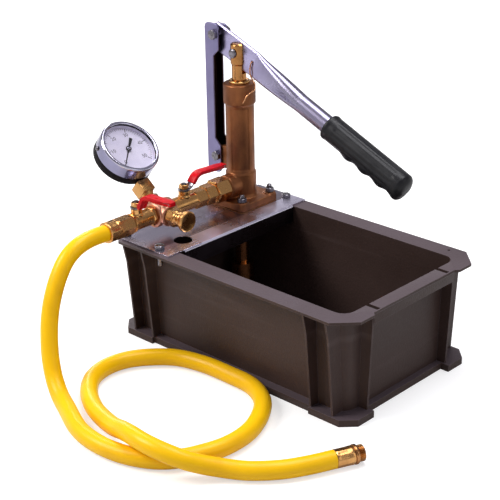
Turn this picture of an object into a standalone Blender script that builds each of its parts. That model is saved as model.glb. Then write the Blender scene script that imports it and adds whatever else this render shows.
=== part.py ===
"""Hand-operated hydrostatic test pump on a plastic water tank.

Metres. X runs along the tank, -Y is its front and +Z is up; the origin is the
middle of the tank's underside. The pump, its lever linkage, two ball valves, a
manifold, a pressure gauge and an outlet hose stand on a steel plate at one end.
"""
import math

import bmesh
import bpy
from mathutils import Matrix, Vector

# Fits between separate pieces
GAP = 0.0003
OVERRUN = 0.002
MERGE = 0.000001
ROUND_STEPS = 24
HOLE_STEPS = 12
SHARP = math.radians(35)
SEAM_TURN = math.radians(2.6)
CURVE_STEPS = 12

# Hexagons, with their corners turned off at the ends
CORNER_SHARE = 0.04
CORNER_STEPS = 4
CORNER_ANGLE = math.radians(30)

# Tank: an open plastic box with a flanged rim
TANK_LENGTH = 0.360
TANK_WIDTH = 0.2364
TANK_HEIGHT = 0.1232
RIM_THICKNESS = 0.003
RIM_CORNER = 0.0229
RIM_END_STEP = 0.0042
RIM_END_HALF = 0.0694
OPENING_LENGTH = 0.3188
OPENING_WIDTH = 0.190
OPENING_RADIUS = 0.014
WALL = 0.0022
END_DRAFT = 0.0031
SIDE_DRAFT = 0.0052
FLOOR = 0.005
BASE_HEIGHT = 0.008
BASE_LENGTH = 0.332
BASE_WIDTH = 0.2052
FOOT_LENGTH = 0.353
FOOT_WIDTH = 0.213
FOOT_START_X = 0.120
FOOT_START_Y = 0.066
FOOT_CHAMFER = 0.0146
FIN = 0.0024
FIN_X = (0.121, 0.151)
FIN_Y = 0.069
FIN_FLARE_Z = 0.098
SIDE_FIN_REACH = (0.0090, 0.0170, 0.0222)
END_FIN_REACH = (0.0106, 0.0151, 0.0158)
FIN_ROOT = 0.006
APRON = 0.002
APRON_DROP = 0.0135
SLOT_Y = 0.0595
SLOT_WIDTH = 0.0055
SLOT_DEPTH = 0.006
SLOT_LENGTH = 0.015
HANG_HOLE = 0.0018
HANG_HOLE_PLACE = (0.1397, 0.1095)

# Mounting plate: sheet steel over the tank's left end, with a lip into the tank
SHEET = 0.0015
PLATE_EDGE = 0.1800
PLATE_EAR_X = -0.080
PLATE_FRONT = -0.113
PLATE_BACK = 0.118
LIP_FRONT = -0.0883
LIP_BACK = 0.0935
LIP_DROP = 0.0215
LIP_BEND = 0.003
DRAIN_HOLE = 0.011
DRAIN_PLACE = (-0.1009, -0.0694)
SCREW_RADIUS = 0.003
SCREW_HOLE = 0.0034
HEX_M6 = 0.010
HEX_M6_HEIGHT = 0.0042
NUT_TURN = math.radians(17)
NUT_M6_HEIGHT = 0.005
SCREW_TAIL = 0.004
PLATE_SCREWS = {
    "plate_screw_front": (-0.103, -0.104),
    "plate_screw_back": (-0.103, 0.108),
    "plate_screw_front_corner": (-0.163, -0.100),
    "plate_screw_back_corner": (-0.163, 0.100),
}

# Pump: cast body with flange, barrel and bosses
PUMP_X = -0.135
PUMP_Y = 0.0628
FLANGE = 0.063
FLANGE_HEIGHT = 0.0086
FLANGE_RADIUS = 0.005
GASKET = 0.0008
FLANGE_SCREW = 0.0240
PAD_RADIUS = 0.0072
PAD_HEIGHT = 0.0018
BARREL_RADIUS = 0.017
BOSS_RADIUS = 0.0185
BOTTOM_BOSS_TOP = 0.166
TOP_BOSS_BOTTOM = 0.2486
BODY_TOP = 0.2712
CAST_EDGE = 0.0012
PANEL_DEPTH = 0.0008
PANEL_TURN = -47
PANEL_HALF_TURN = 39
PANEL_TOP = 0.245
PANEL_BOTTOM = 0.1685
BORE_RADIUS = 0.0092
BORE_BOTTOM = 0.1585
CHAMBER_RADIUS = 0.0078
PACKING_SEAT = 0.2565
PACKING_RADIUS = 0.0122
PORT_RADIUS = 0.0145
PORT_END = 0.034
PORT_BORE = 0.0096
PORT_DEPTH = 0.0125
PASSAGE = 0.004
LUG_THICKNESS = 0.0124
LUG_END = -0.176
LUG_TOP = 0.199
LUG_BOTTOM = 0.158

# Plunger and its seals
ROD_RADIUS = 0.0086
ROD_BOTTOM = 0.1600
ROD_HEAD_RADIUS = 0.0098
ROD_HEAD_BOTTOM = 0.294
ROD_TOP = 0.3225
ROD_EDGE = 0.0016
SEAL_GROOVE = 0.0016
SEAL_HEIGHT = 0.0034
SEAL_PLACE = 0.1640
GLAND_RADIUS = 0.0125
GLAND_HEIGHT = 0.0034
PACKING_HEIGHT = 0.0095
CLEVIS_SLOT = 0.0064
CLEVIS_SLOT_BOTTOM = 0.2845
PIN_RADIUS = 0.004
PIN_HEAD_RADIUS = 0.0066
PIN_HEAD = 0.0026

# Linkage, in the plane of the pump's axis: lug pivot, link pivot, rod pin
LUG_PIVOT = (-0.1657, 0.1792)
LINK_PIVOT = (-0.1665, 0.3286)
ROD_PIN_Z = 0.3112
LINK_BACK = -0.1818
LINK_SHEET = 0.0025
LINK_OUTSIDE = 0.018
LINK_WIDE = 0.022
LINK_NARROW = 0.013
LINK_TOP = 0.3435
LINK_BOTTOM = 0.1575
LINK_CHEEK_UPPER = 0.311
LINK_CHEEK_LOWER = 0.192
LINK_TAPER = 0.009
LINK_CORNER = 0.006
PIVOT_RADIUS = 0.004
PIVOT_HEX = 0.0125
PIVOT_HEX_HEIGHT = 0.0042

# Lever: tube flattened at its upper end, with a moulded grip
LEVER_FLAT_SLOPE = math.radians(-21.7)
LEVER_TUBE_SLOPE = math.radians(-23.75)
LEVER_KNEE = (-0.110, 0.2987)
LEVER_TUBE = 0.0107
LEVER_FLAT_HALF = 0.013
LEVER_FLAT_THICKNESS = 0.005
LEVER_BLEND = 0.052
BLEND_STEPS = 6
LEVER_CORNER_STEPS = 5
LEVER_END_ROUND = 0.0095
LEVER_SLOT_HALF = 0.0018
PIN_PLAY = 0.0005
SLOT_TILT = math.radians(-29.3)
SLOT_SHIFT = (-0.00157, 0.00062)
WIRE_HOLE = 0.0021
WIRE_HOLE_PLACE = (-0.1114, 0.3035)
GRIP_START = (0.0036, 0.2487)
GRIP_LENGTH = 0.1195
GRIP_RADIUS = 0.0148
GRIP_COLLAR = 0.0158
GRIP_PITCH = 0.0245
GRIP_FIRST_PEAK = 0.0275
GRIP_FINGERS = 4
FINGER_DEPTH = 0.0040
GRIP_WALL = 0.003
TUBE_IN_GRIP = 0.100
GRIP_STATIONS = 32
GRIP_SIDES = 16
DOME_SHARE = 0.86

# Tie wire through the lever's small hole
WIRE_RADIUS = 0.0008
WIRE_POINTS = 46
WIRE_BACK = [(-0.0062, 0.0037, -0.0170), (-0.0040, 0.0037, -0.0090)]
WIRE_FRONT = [(0.0010, -0.0062, -0.0080), (0.0022, -0.0080, -0.0170), (0.0010, -0.0110, -0.0260),
              (-0.0020, -0.0160, -0.0340), (-0.0080, -0.0192, -0.0385), (-0.0160, -0.0196, -0.0390),
              (-0.0220, -0.0196, -0.0350)]

# Suction pipe, strainer and the two check valves
SUCTION_RADIUS = 0.0085
SUCTION_BORE = 0.006
SUCTION_BOTTOM = 0.034
SUCTION_SOCKET = 0.006
STRAINER_RADIUS = 0.014
STRAINER_TOP = 0.046
STRAINER_BOTTOM = 0.0065
STRAINER_WALL = 0.0016
STRAINER_SLOTS = 10
STRAINER_SLOT = 0.0026
CHECK_BALL = 0.0055
CHECK_SEAT = 0.004
SEAT_TOP = 0.1415
BALL_REST = 0.14143

# Fitting train, along -Y from the pump's port
TRAIN_Z = 0.1506
PORT_HEX = 0.026
PORT_HEX_Y = (0.0337, 0.0130)
NIPPLE_HEX = 0.022
NIPPLE_HEX_Y = (0.0127, -0.0030)
NIPPLE_RADIUS = 0.0072
THREAD_RADIUS = 0.0085
VALVE_BORE = 0.0034
VALVE_HEX = 0.0205
VALVE_RADIUS = 0.0100
VALVE_COLLAR = 0.0112
COLLAR_WIDTH = 0.0026
BALL_RADIUS = 0.0062
BALL_BORE = 0.0030
BONNET_RADIUS = 0.0066
BONNET_TOP = 0.1664
STEM_RADIUS = 0.0030
STEM_TOP = 0.1752
STEM_NUT_HEX = 0.0100
STEM_NUT = (0.1690, 0.1741)
PUMP_VALVE = {"stem": -0.0330, "inlet": -0.0033, "outlet": -0.0455, "hex": 0.0165,
              "socket": 0.009, "male_outlet": True}
HOSE_VALVE = {"stem": -0.1075, "inlet": -0.0845, "outlet": -0.1172, "hex": 0.0050,
              "socket": 0.0026, "male_outlet": False}

# Valve handles: bent steel strips in vinyl sleeves
STRIP = 0.0018
STRIP_WIDTH = 0.0088
ROOT_RING = 0.0070
HANDLE_Z = 0.1670
SLEEVE_WALL = 0.0011
SLEEVE_START_SHARE = 0.34
PUMP_HANDLE = {"knee": (0.0205, 0.0150), "tip": (0.0650, 0.0125)}
HOSE_HANDLE = {"knee": (0.0215, 0.0165), "tip": (0.0640, 0.0220)}
HANDLE_RISE_START = 0.0080
BEND_SHARE = 0.36

# Manifold: cast cross that joins the valves, the gauge and the relief valve
MANIFOLD_Y = -0.0710
MANIFOLD_BACK_REACH = 0.0252
MANIFOLD_FRONT_REACH = 0.0132
MANIFOLD_RADIUS = 0.0150
MANIFOLD_RELIEF_REACH = 0.0175
MANIFOLD_GAUGE_REACH = 0.0215
GAUGE_BRANCH_RADIUS = 0.0105
SOCKET_DEPTH = 0.0090
BRANCH_TRIM = 0.0022
BRANCH_PASSAGE = 0.0028

# Relief valve on the manifold's +X branch
RELIEF_HEX = 0.0195
RELIEF_LENGTH = 0.0200
RELIEF_NECK = 0.0075
RELIEF_KNOB_RADIUS = 0.0122
RELIEF_KNOB_LENGTH = 0.0062
RELIEF_KNOB_GAP = 0.0022
RELIEF_STEM = 0.0030
RELIEF_THREAD = 0.0070

# Pressure gauge, tipped back towards the pump's end of the tank
GAUGE_SLOPE = math.radians(38.5)
GAUGE_REACH = 0.0795
GAUGE_STEP = 0.020
GAUGE_RADIUS = 0.0362
GAUGE_DEPTH = 0.0290
GAUGE_SHELL = 0.0009
GAUGE_BACK = 0.0080
GAUGE_LIP = 0.0046
GAUGE_LIP_THICKNESS = 0.0013
WINDOW_THICKNESS = 0.0022
DIAL_SETBACK = 0.0070
DIAL_THICKNESS = 0.0012
DIAL_CLEARANCE = 0.0006
CASE_WALL = 0.0022
POINTER_LENGTH = 0.0225
POINTER_TAIL = 0.0125
POINTER_WIDTH = 0.0013
POINTER_TAIL_WIDTH = 0.0036
POINTER_THICKNESS = 0.0007
POINTER_HUB = 0.0034
POINTER_REST = math.radians(45)
ARBOR = 0.0012
BLOCK = 0.0172
BLOCK_START = 0.0355
BLOCK_LENGTH = 0.0165
NECK_RADIUS = 0.0052
CASE_SCREW_RADIUS = 0.0030
CASE_SCREW_HEAD = 0.0018
CASE_SCREW_TURN = math.radians(243)

# Hose and its end fittings
HOSE_RADIUS = 0.0097
ADAPTER_HEX = 0.0215
ADAPTER_Y = (-0.1175, -0.1385)
ADAPTER_SPIGOT = 0.0023
SPUR_LENGTH = 0.0160
FERRULE_RADIUS = 0.0121
FERRULE_Y = (-0.1388, -0.1550)
FERRULE_SIDES = 8
SPUR_RADIUS = 0.0055
HOSE_END_FERRULE = 0.0200
HOSE_END_NUT = 0.0110
END_FERRULE_FLATS = 0.0192
END_NUT_FLATS = 0.0190
HOSE_POINTS = 60

# The hose's route: out of its ferrule, down to the floor and round one loop
HOSE_ROUTE = [
    (-0.1350, -0.1553, 0.1506), (-0.1350, -0.1700, 0.1513), (-0.1350, -0.1840, 0.1502),
    (-0.1349, -0.1984, 0.1462), (-0.1343, -0.2115, 0.1385), (-0.1332, -0.2224, 0.1270),
    (-0.1312, -0.2334, 0.1106), (-0.1281, -0.2435, 0.0901), (-0.1232, -0.2512, 0.0685),
    (-0.1155, -0.2580, 0.0445), (-0.1050, -0.2634, 0.0260), (-0.0890, -0.2700, 0.0140),
    (-0.0685, -0.2784, 0.0101), (-0.0192, -0.3000, 0.0098), (0.0187, -0.3045, 0.0098),
    (0.0503, -0.2994, 0.0098), (0.0775, -0.2863, 0.0098), (0.0930, -0.2703, 0.0098),
    (0.1042, -0.2481, 0.0098), (0.1120, -0.2191, 0.0098), (0.1093, -0.1843, 0.0098),
    (0.0927, -0.1490, 0.0098), (0.0745, -0.1285, 0.0098), (0.0460, -0.1150, 0.0098),
    (0.0115, -0.1132, 0.0098), (-0.0264, -0.1146, 0.0098), (-0.0603, -0.1240, 0.0098),
    (-0.0828, -0.1420, 0.0098), (-0.0985, -0.1646, 0.0098), (-0.1032, -0.1904, 0.0098),
    (-0.0955, -0.2178, 0.0098), (-0.0742, -0.2416, 0.0098), (-0.0402, -0.2624, 0.0112),
    (0.0076, -0.2800, 0.0180), (0.0340, -0.2880, 0.0262), (0.0500, -0.2923, 0.0300),
    (0.0660, -0.2949, 0.0312), (0.0820, -0.2948, 0.0308), (0.0985, -0.2908, 0.0282),
    (0.1135, -0.2818, 0.0228), (0.1253, -0.2690, 0.0165), (0.1365, -0.2570, 0.0122),
    (0.1473, -0.2483, 0.0103), (0.1609, -0.2384, 0.0098), (0.1820, -0.2163, 0.0098),
    (0.1973, -0.1910, 0.0098), (0.2078, -0.1682, 0.0098),
]


for obj in list(bpy.data.objects):
    bpy.data.objects.remove(obj, do_unlink=True)

rim_top = TANK_HEIGHT
plate_bottom = rim_top + GAP
plate_top = plate_bottom + SHEET
gasket_bottom = plate_top + GAP
flange_bottom = gasket_bottom + GASKET + GAP
flange_top = flange_bottom + FLANGE_HEIGHT


# Materials

def finish(name, colour, metallic, roughness):
    material = bpy.data.materials.new(name)
    material.use_nodes = True
    shader = material.node_tree.nodes["Principled BSDF"]
    shader.inputs["Base Color"].default_value = (*colour, 1)
    shader.inputs["Metallic"].default_value = metallic
    shader.inputs["Roughness"].default_value = roughness
    return material


TANK_PLASTIC = finish("tank_plastic", (0.085, 0.066, 0.060), 0, 0.45)
PLATE_STEEL = finish("plate_steel", (0.56, 0.54, 0.58), 1, 0.22)
LINK_STEEL = finish("link_steel", (0.50, 0.47, 0.58), 1, 0.30)
FASTENER = finish("fastener_zinc", (0.72, 0.70, 0.66), 1, 0.28)
CAST_BRONZE = finish("cast_bronze", (0.24, 0.10, 0.042), 1, 0.42)
BRASS = finish("brass", (0.62, 0.37, 0.11), 1, 0.26)
MANIFOLD_BRONZE = finish("manifold_bronze", (0.45, 0.24, 0.16), 1, 0.40)
RED_VINYL = finish("red_vinyl", (0.58, 0.010, 0.018), 0, 0.35)
BLACK_RUBBER = finish("black_rubber", (0.020, 0.020, 0.023), 0, 0.55)
BLACK_PLASTIC = finish("black_plastic", (0.026, 0.024, 0.026), 0, 0.40)
CHROME = finish("chrome", (0.70, 0.69, 0.74), 1, 0.12)
GLASS = finish("window_glass", (0.92, 0.94, 0.95), 0, 0.04)
DIAL_WHITE = finish("dial_white", (0.80, 0.79, 0.86), 0, 0.50)
COPPER = finish("copper_wire", (0.68, 0.30, 0.14), 1, 0.30)
HOSE_YELLOW = finish("hose_yellow", (0.88, 0.47, 0.012), 0, 0.40)
NYLON = finish("nylon", (0.75, 0.74, 0.70), 0, 0.45)
STAINLESS = finish("stainless", (0.62, 0.62, 0.64), 1, 0.20)


# Shapes

def placed(origin, axis, side):
    """Matrix whose Z runs along axis and whose X leans towards side."""
    z = Vector(axis).normalized()
    y = z.cross(Vector(side)).normalized()
    x = y.cross(z)
    turn = Matrix((x, y, z)).transposed().to_4x4()
    return Matrix.Translation(origin) @ turn


def upright(x, y, z=0):
    return Matrix.Translation((x, y, z))


def along_train(y):
    """Z runs along -Y from this y on the fitting train's axis."""
    return placed((PUMP_X, y, TRAIN_Z), (0, -1, 0), (1, 0, 0))


def across_linkage(x, z, y=PUMP_Y):
    """Local X is world X, local Y is world Z, local Z points to the front."""
    return placed((x, y, z), (0, -1, 0), (1, 0, 0))


def solid(name, bm, material):
    """Turn a bmesh into an object; without a material it is a hidden helper."""
    bmesh.ops.remove_doubles(bm, verts=bm.verts, dist=MERGE)
    bmesh.ops.recalc_face_normals(bm, faces=bm.faces)
    mesh = bpy.data.meshes.new(name)
    bm.to_mesh(mesh)
    bm.free()
    mesh.shade_smooth()
    mesh.set_sharp_from_angle(angle=SHARP)
    obj = bpy.data.objects.new(name, mesh)
    bpy.context.scene.collection.objects.link(obj)
    if material:
        mesh.materials.append(material)
    else:
        obj.hide_render = True
        obj.display_type = 'WIRE'
    return obj


def turned(name, profile, place, material=None, steps=ROUND_STEPS):
    """Turn (radius, height) points about local Z, closing the profile off the axis."""
    bm = bmesh.new()
    seam = Vector((math.cos(SEAM_TURN), math.sin(SEAM_TURN), 0))
    points = [bm.verts.new(seam * radius + Vector((0, 0, height))) for radius, height in profile]
    pairs = list(zip(points, points[1:]))
    if profile[0][0] or profile[-1][0]:
        pairs.append((points[-1], points[0]))
    edges = [bm.edges.new(pair) for pair in pairs]
    bmesh.ops.spin(bm, geom=points + edges, cent=(0, 0, 0), axis=(0, 0, 1),
                   angle=math.tau, steps=steps, use_merge=True)
    bmesh.ops.remove_doubles(bm, verts=bm.verts, dist=MERGE)
    bm.normal_update()
    # A flat end becomes one face in place of a fan.
    flat = [v for v in bm.verts if v.co.xy.length < MERGE
            and all(v.co.z == w.co.z for e in v.link_edges for w in e.verts)]
    bmesh.ops.dissolve_verts(bm, verts=flat)
    bm.transform(place)
    return solid(name, bm, material)


def rod(name, radius, low, high, place, material=None, steps=ROUND_STEPS):
    profile = [(0, low), (radius, low), (radius, high), (0, high)]
    return turned(name, profile, place, material, steps)


def extruded(name, outline, low, high, place, material=None):
    bm = bmesh.new()
    prism(bm, outline, low, high)
    bm.transform(place)
    return solid(name, bm, material)


def prism(bm, outline, low, high):
    """Add a prism of an (x, y) outline between two heights."""
    face = bm.faces.new([bm.verts.new((x, y, low)) for x, y in outline])
    top = bmesh.ops.extrude_face_region(bm, geom=[face], use_keep_orig=True)
    raised = [v for v in top["geom"] if isinstance(v, bmesh.types.BMVert)]
    bmesh.ops.translate(bm, verts=raised, vec=(0, 0, high - low))


def lofted(name, rings, place, material=None):
    """Skin rings of equal point counts and cap both ends."""
    bm = bmesh.new()
    loops = [[bm.verts.new(point) for point in ring] for ring in rings]
    for lower, upper in zip(loops, loops[1:]):
        for i in range(len(lower)):
            bm.faces.new((lower[i - 1], lower[i], upper[i], upper[i - 1]))
    bm.faces.new(loops[0])
    bm.faces.new(loops[-1])
    bm.transform(place)
    return solid(name, bm, material)


def arc(centre, radius, start, end, steps):
    """Points on an arc, both ends included; angles in radians."""
    turns = [start + (end - start) * i / steps for i in range(steps + 1)]
    return [(centre[0] + radius * math.cos(a), centre[1] + radius * math.sin(a)) for a in turns]


def rectangle(half_x, half_y):
    return [(half_x, half_y), (-half_x, half_y), (-half_x, -half_y), (half_x, -half_y)]


def rounded(half_x, half_y, radius, steps=4):
    quarter = math.pi / 2
    centres = [(half_x - radius, half_y - radius), (radius - half_x, half_y - radius),
               (radius - half_x, radius - half_y), (half_x - radius, radius - half_y)]
    points = []
    for i, centre in enumerate(centres):
        points += arc(centre, radius, i * quarter, (i + 1) * quarter, steps)
    return points


def regular(across_flats, sides=6, turn=0.0):
    """Regular outline; turn 0 puts a flat at +X."""
    corner = across_flats / 2 / math.cos(math.pi / sides)
    half = math.pi / sides
    turns = [turn + half + math.tau * i / sides for i in range(sides)]
    return [(corner * math.cos(a), corner * math.sin(a)) for a in turns]


def combine(target, other, operation):
    other.hide_render = True
    other.display_type = 'WIRE'
    step = target.modifiers.new(operation.lower(), 'BOOLEAN')
    step.operation = operation
    step.object = other
    step.solver = 'EXACT'
    return target


def fuse(target, *others):
    for other in others:
        combine(target, other, 'UNION')
    return target


def cut(target, *others):
    for other in others:
        combine(target, other, 'DIFFERENCE')
    return target


def chamfered_hex(name, across_flats, low, high, place, material=None, turn=0.0,
                  sides=6, ends=(True, True)):
    """A hexagon, or a bar of more sides, whose corners are turned off at its ends."""
    apothem = across_flats / 2
    inner = apothem * (1 - CORNER_SHARE)
    count = sides * CORNER_STEPS
    turns = [turn + math.tau * i / count for i in range(count)]
    reach = []
    for i in range(count):
        share = i % CORNER_STEPS / CORNER_STEPS
        reach.append(apothem / math.cos(min(share, 1 - share) * math.tau / sides))
    falls = [(r - inner) * math.tan(CORNER_ANGLE) for r in reach]

    def ring(radii, heights):
        return [(r * math.cos(a), r * math.sin(a), h) for a, r, h in zip(turns, radii, heights)]

    flat = [inner] * count
    rings = [ring(flat, [low] * count)] if ends[0] else []
    rings.append(ring(reach, [low + fall * ends[0] for fall in falls]))
    rings.append(ring(reach, [high - fall * ends[1] for fall in falls]))
    rings += [ring(flat, [high] * count)] if ends[1] else []
    return lofted(name, rings, place, material)


def pivot(name, place, pieces, parent=None):
    """An empty on a joint's axis that carries the pieces of one moving body."""
    empty = bpy.data.objects.new(name, None)
    bpy.context.scene.collection.objects.link(empty)
    base = Vector(parent["place"]) if parent else Vector()
    empty["place"] = list(place)
    empty.parent = parent
    empty.location = Vector(place) - base
    for piece in pieces:
        piece.parent = empty
        piece.location = -Vector(place)
    return empty


# Tank

def quarter_outline(points):
    """Mirror a +X +Y quarter outline, given from +X round to +Y, into a whole one."""
    left = [(-x, y) for x, y in reversed(points)]
    return points + left + [(-x, -y) for x, y in points] + [(x, -y) for x, y in reversed(points)]


def build_tank():
    rim_bottom = rim_top - RIM_THICKNESS
    half_length = TANK_LENGTH / 2
    half_width = TANK_WIDTH / 2
    inside = (OPENING_LENGTH / 2, OPENING_WIDTH / 2)

    def wall_ring(height, grow, radius):
        share = (rim_top - height) / rim_top
        half_x = inside[0] + grow - END_DRAFT * share
        half_y = inside[1] + grow - SIDE_DRAFT * share
        return [(x, y, height) for x, y in rounded(half_x, half_y, radius)]

    walls = [wall_ring(h, WALL, OPENING_RADIUS + WALL) for h in (FLOOR - OVERRUN, rim_top - GAP)]
    tank = lofted("tank", walls, Matrix(), TANK_PLASTIC)

    foot_x, foot_y = FOOT_LENGTH / 2, FOOT_WIDTH / 2
    base = quarter_outline([
        (BASE_LENGTH / 2, FOOT_START_Y), (foot_x, FOOT_START_Y), (foot_x, foot_y - FOOT_CHAMFER),
        (foot_x - FOOT_CHAMFER, foot_y), (FOOT_START_X, foot_y), (FOOT_START_X, BASE_WIDTH / 2)])
    fuse(tank, extruded("tank_base", base, 0, BASE_HEIGHT, Matrix()))

    strip = half_length - RIM_END_STEP
    rim = quarter_outline([
        (strip, RIM_END_HALF), (half_length, RIM_END_HALF + RIM_END_STEP),
        (half_length, half_width - RIM_CORNER), (half_length - RIM_CORNER, half_width)])
    fuse(tank, extruded("tank_rim", rim, rim_bottom, rim_top, Matrix()))

    fin_foot = BASE_HEIGHT - OVERRUN
    fin_top = rim_bottom + RIM_THICKNESS / 2
    fins = bmesh.new()
    for side in (1, -1):
        for x in FIN_X + tuple(-x for x in FIN_X):
            low, flare, top = (inside[1] + reach for reach in SIDE_FIN_REACH)
            root = inside[1] - FIN_ROOT
            outline = [(root, fin_foot), (low, fin_foot), (flare, FIN_FLARE_Z), (top, fin_top),
                       (root, fin_top)]
            add_fin(fins, outline, Vector((x, 0, 0)), Vector((0, side, 0)))
        for y in (FIN_Y, -FIN_Y):
            low, flare, top = (inside[0] + reach for reach in END_FIN_REACH)
            root = inside[0] - FIN_ROOT
            outline = [(root, fin_foot), (low, fin_foot), (flare, FIN_FLARE_Z), (top, fin_top),
                       (root, fin_top)]
            add_fin(fins, outline, Vector((0, y, 0)), Vector((side, 0, 0)))
    fuse(tank, solid("tank_fins", fins, None))

    aprons = bmesh.new()
    for side in (1, -1):
        box = bmesh.ops.create_cube(aprons, size=1)["verts"]
        bmesh.ops.scale(aprons, verts=box, vec=(APRON, 2 * RIM_END_HALF - FIN, APRON_DROP - GAP))
        middle = (side * (strip - APRON / 2 - MERGE * 10), 0, rim_top - GAP - (APRON_DROP - GAP) / 2)
        bmesh.ops.translate(aprons, verts=box, vec=middle)
    fuse(tank, solid("tank_aprons", aprons, None))

    cavity = [wall_ring(h, 0, OPENING_RADIUS) for h in (FLOOR, rim_top + OVERRUN)]
    cut(tank, lofted("tank_cavity", cavity, Matrix()))

    slots = bmesh.new()
    for side in (1, -1):
        for y in (SLOT_Y, -SLOT_Y):
            box = bmesh.ops.create_cube(slots, size=1)["verts"]
            bmesh.ops.scale(slots, verts=box, vec=(SLOT_LENGTH + OVERRUN, SLOT_WIDTH, 2 * SLOT_DEPTH))
            x = side * (inside[0] + SLOT_LENGTH / 2 - OVERRUN / 2)
            bmesh.ops.translate(slots, verts=box, vec=(x, y, rim_top))
    cut(tank, solid("tank_slots", slots, None))
    holes = bmesh.new()
    places = [(x, y, SCREW_HOLE) for x, y in PLATE_SCREWS.values()]
    for x, y, radius in places + [(*HANG_HOLE_PLACE, HANG_HOLE)]:
        ring = [(x + px, y + py) for px, py in arc((0, 0), radius, 0, math.tau, HOLE_STEPS)[:-1]]
        prism(holes, ring, rim_bottom - OVERRUN, rim_top + OVERRUN)
    cut(tank, solid("tank_holes", holes, None))


def add_fin(bm, outline, origin, outward):
    """A thin gusset whose outline is (distance outwards, height)."""
    across = outward.cross(Vector((0, 0, 1))) * FIN
    corners = [bm.verts.new(origin + outward * reach + Vector((0, 0, z)) - across / 2)
               for reach, z in outline]
    face = bm.faces.new(corners)
    grown = bmesh.ops.extrude_face_region(bm, geom=[face], use_keep_orig=True)["geom"]
    moved = [v for v in grown if isinstance(v, bmesh.types.BMVert)]
    bmesh.ops.translate(bm, verts=moved, vec=across)


# Mounting plate and its screws

def build_plate():
    corner = PLATE_EDGE - RIM_CORNER
    outline = [
        (PLATE_EAR_X, PLATE_FRONT), (PLATE_EAR_X, PLATE_BACK), (-corner, PLATE_BACK),
        (-PLATE_EDGE, PLATE_BACK - RIM_CORNER), (-PLATE_EDGE, PLATE_FRONT + RIM_CORNER),
        (-corner, PLATE_FRONT)]
    plate = extruded("mounting_plate", outline, plate_bottom, plate_top, Matrix(), PLATE_STEEL)

    bend = LIP_BEND
    centre = (PLATE_EAR_X + OVERRUN - bend, plate_top - bend)
    outer = arc(centre, bend, math.pi / 2, 0, 5)
    inner = arc(centre, bend - SHEET, 0, math.pi / 2, 5)
    root = PLATE_EAR_X - 2 * OVERRUN
    lip = [(root, plate_top - MERGE * 5)] + outer
    lip += [(outer[-1][0], plate_top - LIP_DROP), (outer[-1][0] - SHEET, plate_top - LIP_DROP)]
    lip += inner + [(root, plate_bottom + MERGE * 5)]
    sideways = placed((0, LIP_BACK, 0), (0, -1, 0), (1, 0, 0))
    fuse(plate, extruded("plate_lip", lip, 0, LIP_BACK - LIP_FRONT, sideways))

    low, high = plate_bottom - OVERRUN, plate_top + OVERRUN
    cut(plate, rod("drain_hole", DRAIN_HOLE, low, high, upright(*DRAIN_PLACE)))
    cut(plate, rod("suction_hole", SUCTION_RADIUS + OVERRUN, low, high, upright(PUMP_X, PUMP_Y)))
    holes = bmesh.new()
    for x, y in list(PLATE_SCREWS.values()) + flange_corners():
        ring = [(x + px, y + py) for px, py in arc((0, 0), SCREW_HOLE, 0, math.tau, HOLE_STEPS)[:-1]]
        prism(holes, ring, low, high)
    cut(plate, solid("plate_holes", holes, None))


def flange_corners():
    return [(PUMP_X + sx * FLANGE_SCREW, PUMP_Y + sy * FLANGE_SCREW)
            for sx, sy in ((-1, -1), (1, -1), (1, 1), (-1, 1))]


def build_plate_screws():
    """Hex-head screws down through plate and rim, each with the nut run up it."""
    nut_top = rim_top - RIM_THICKNESS - GAP
    tail = nut_top - NUT_M6_HEIGHT - SCREW_TAIL
    for name, (x, y) in PLATE_SCREWS.items():
        place = upright(x, y)
        head_low = plate_top + GAP
        screw = chamfered_hex(name, HEX_M6, head_low, head_low + HEX_M6_HEIGHT, place, FASTENER,
                              ends=(False, True))
        fuse(screw, rod(name + "_shank", SCREW_RADIUS, tail, head_low + OVERRUN, place, steps=12))
        nut = regular(HEX_M6, turn=NUT_TURN)
        fuse(screw, extruded(name + "_nut", nut, nut_top - NUT_M6_HEIGHT, nut_top, place))


# Pump body

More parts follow.
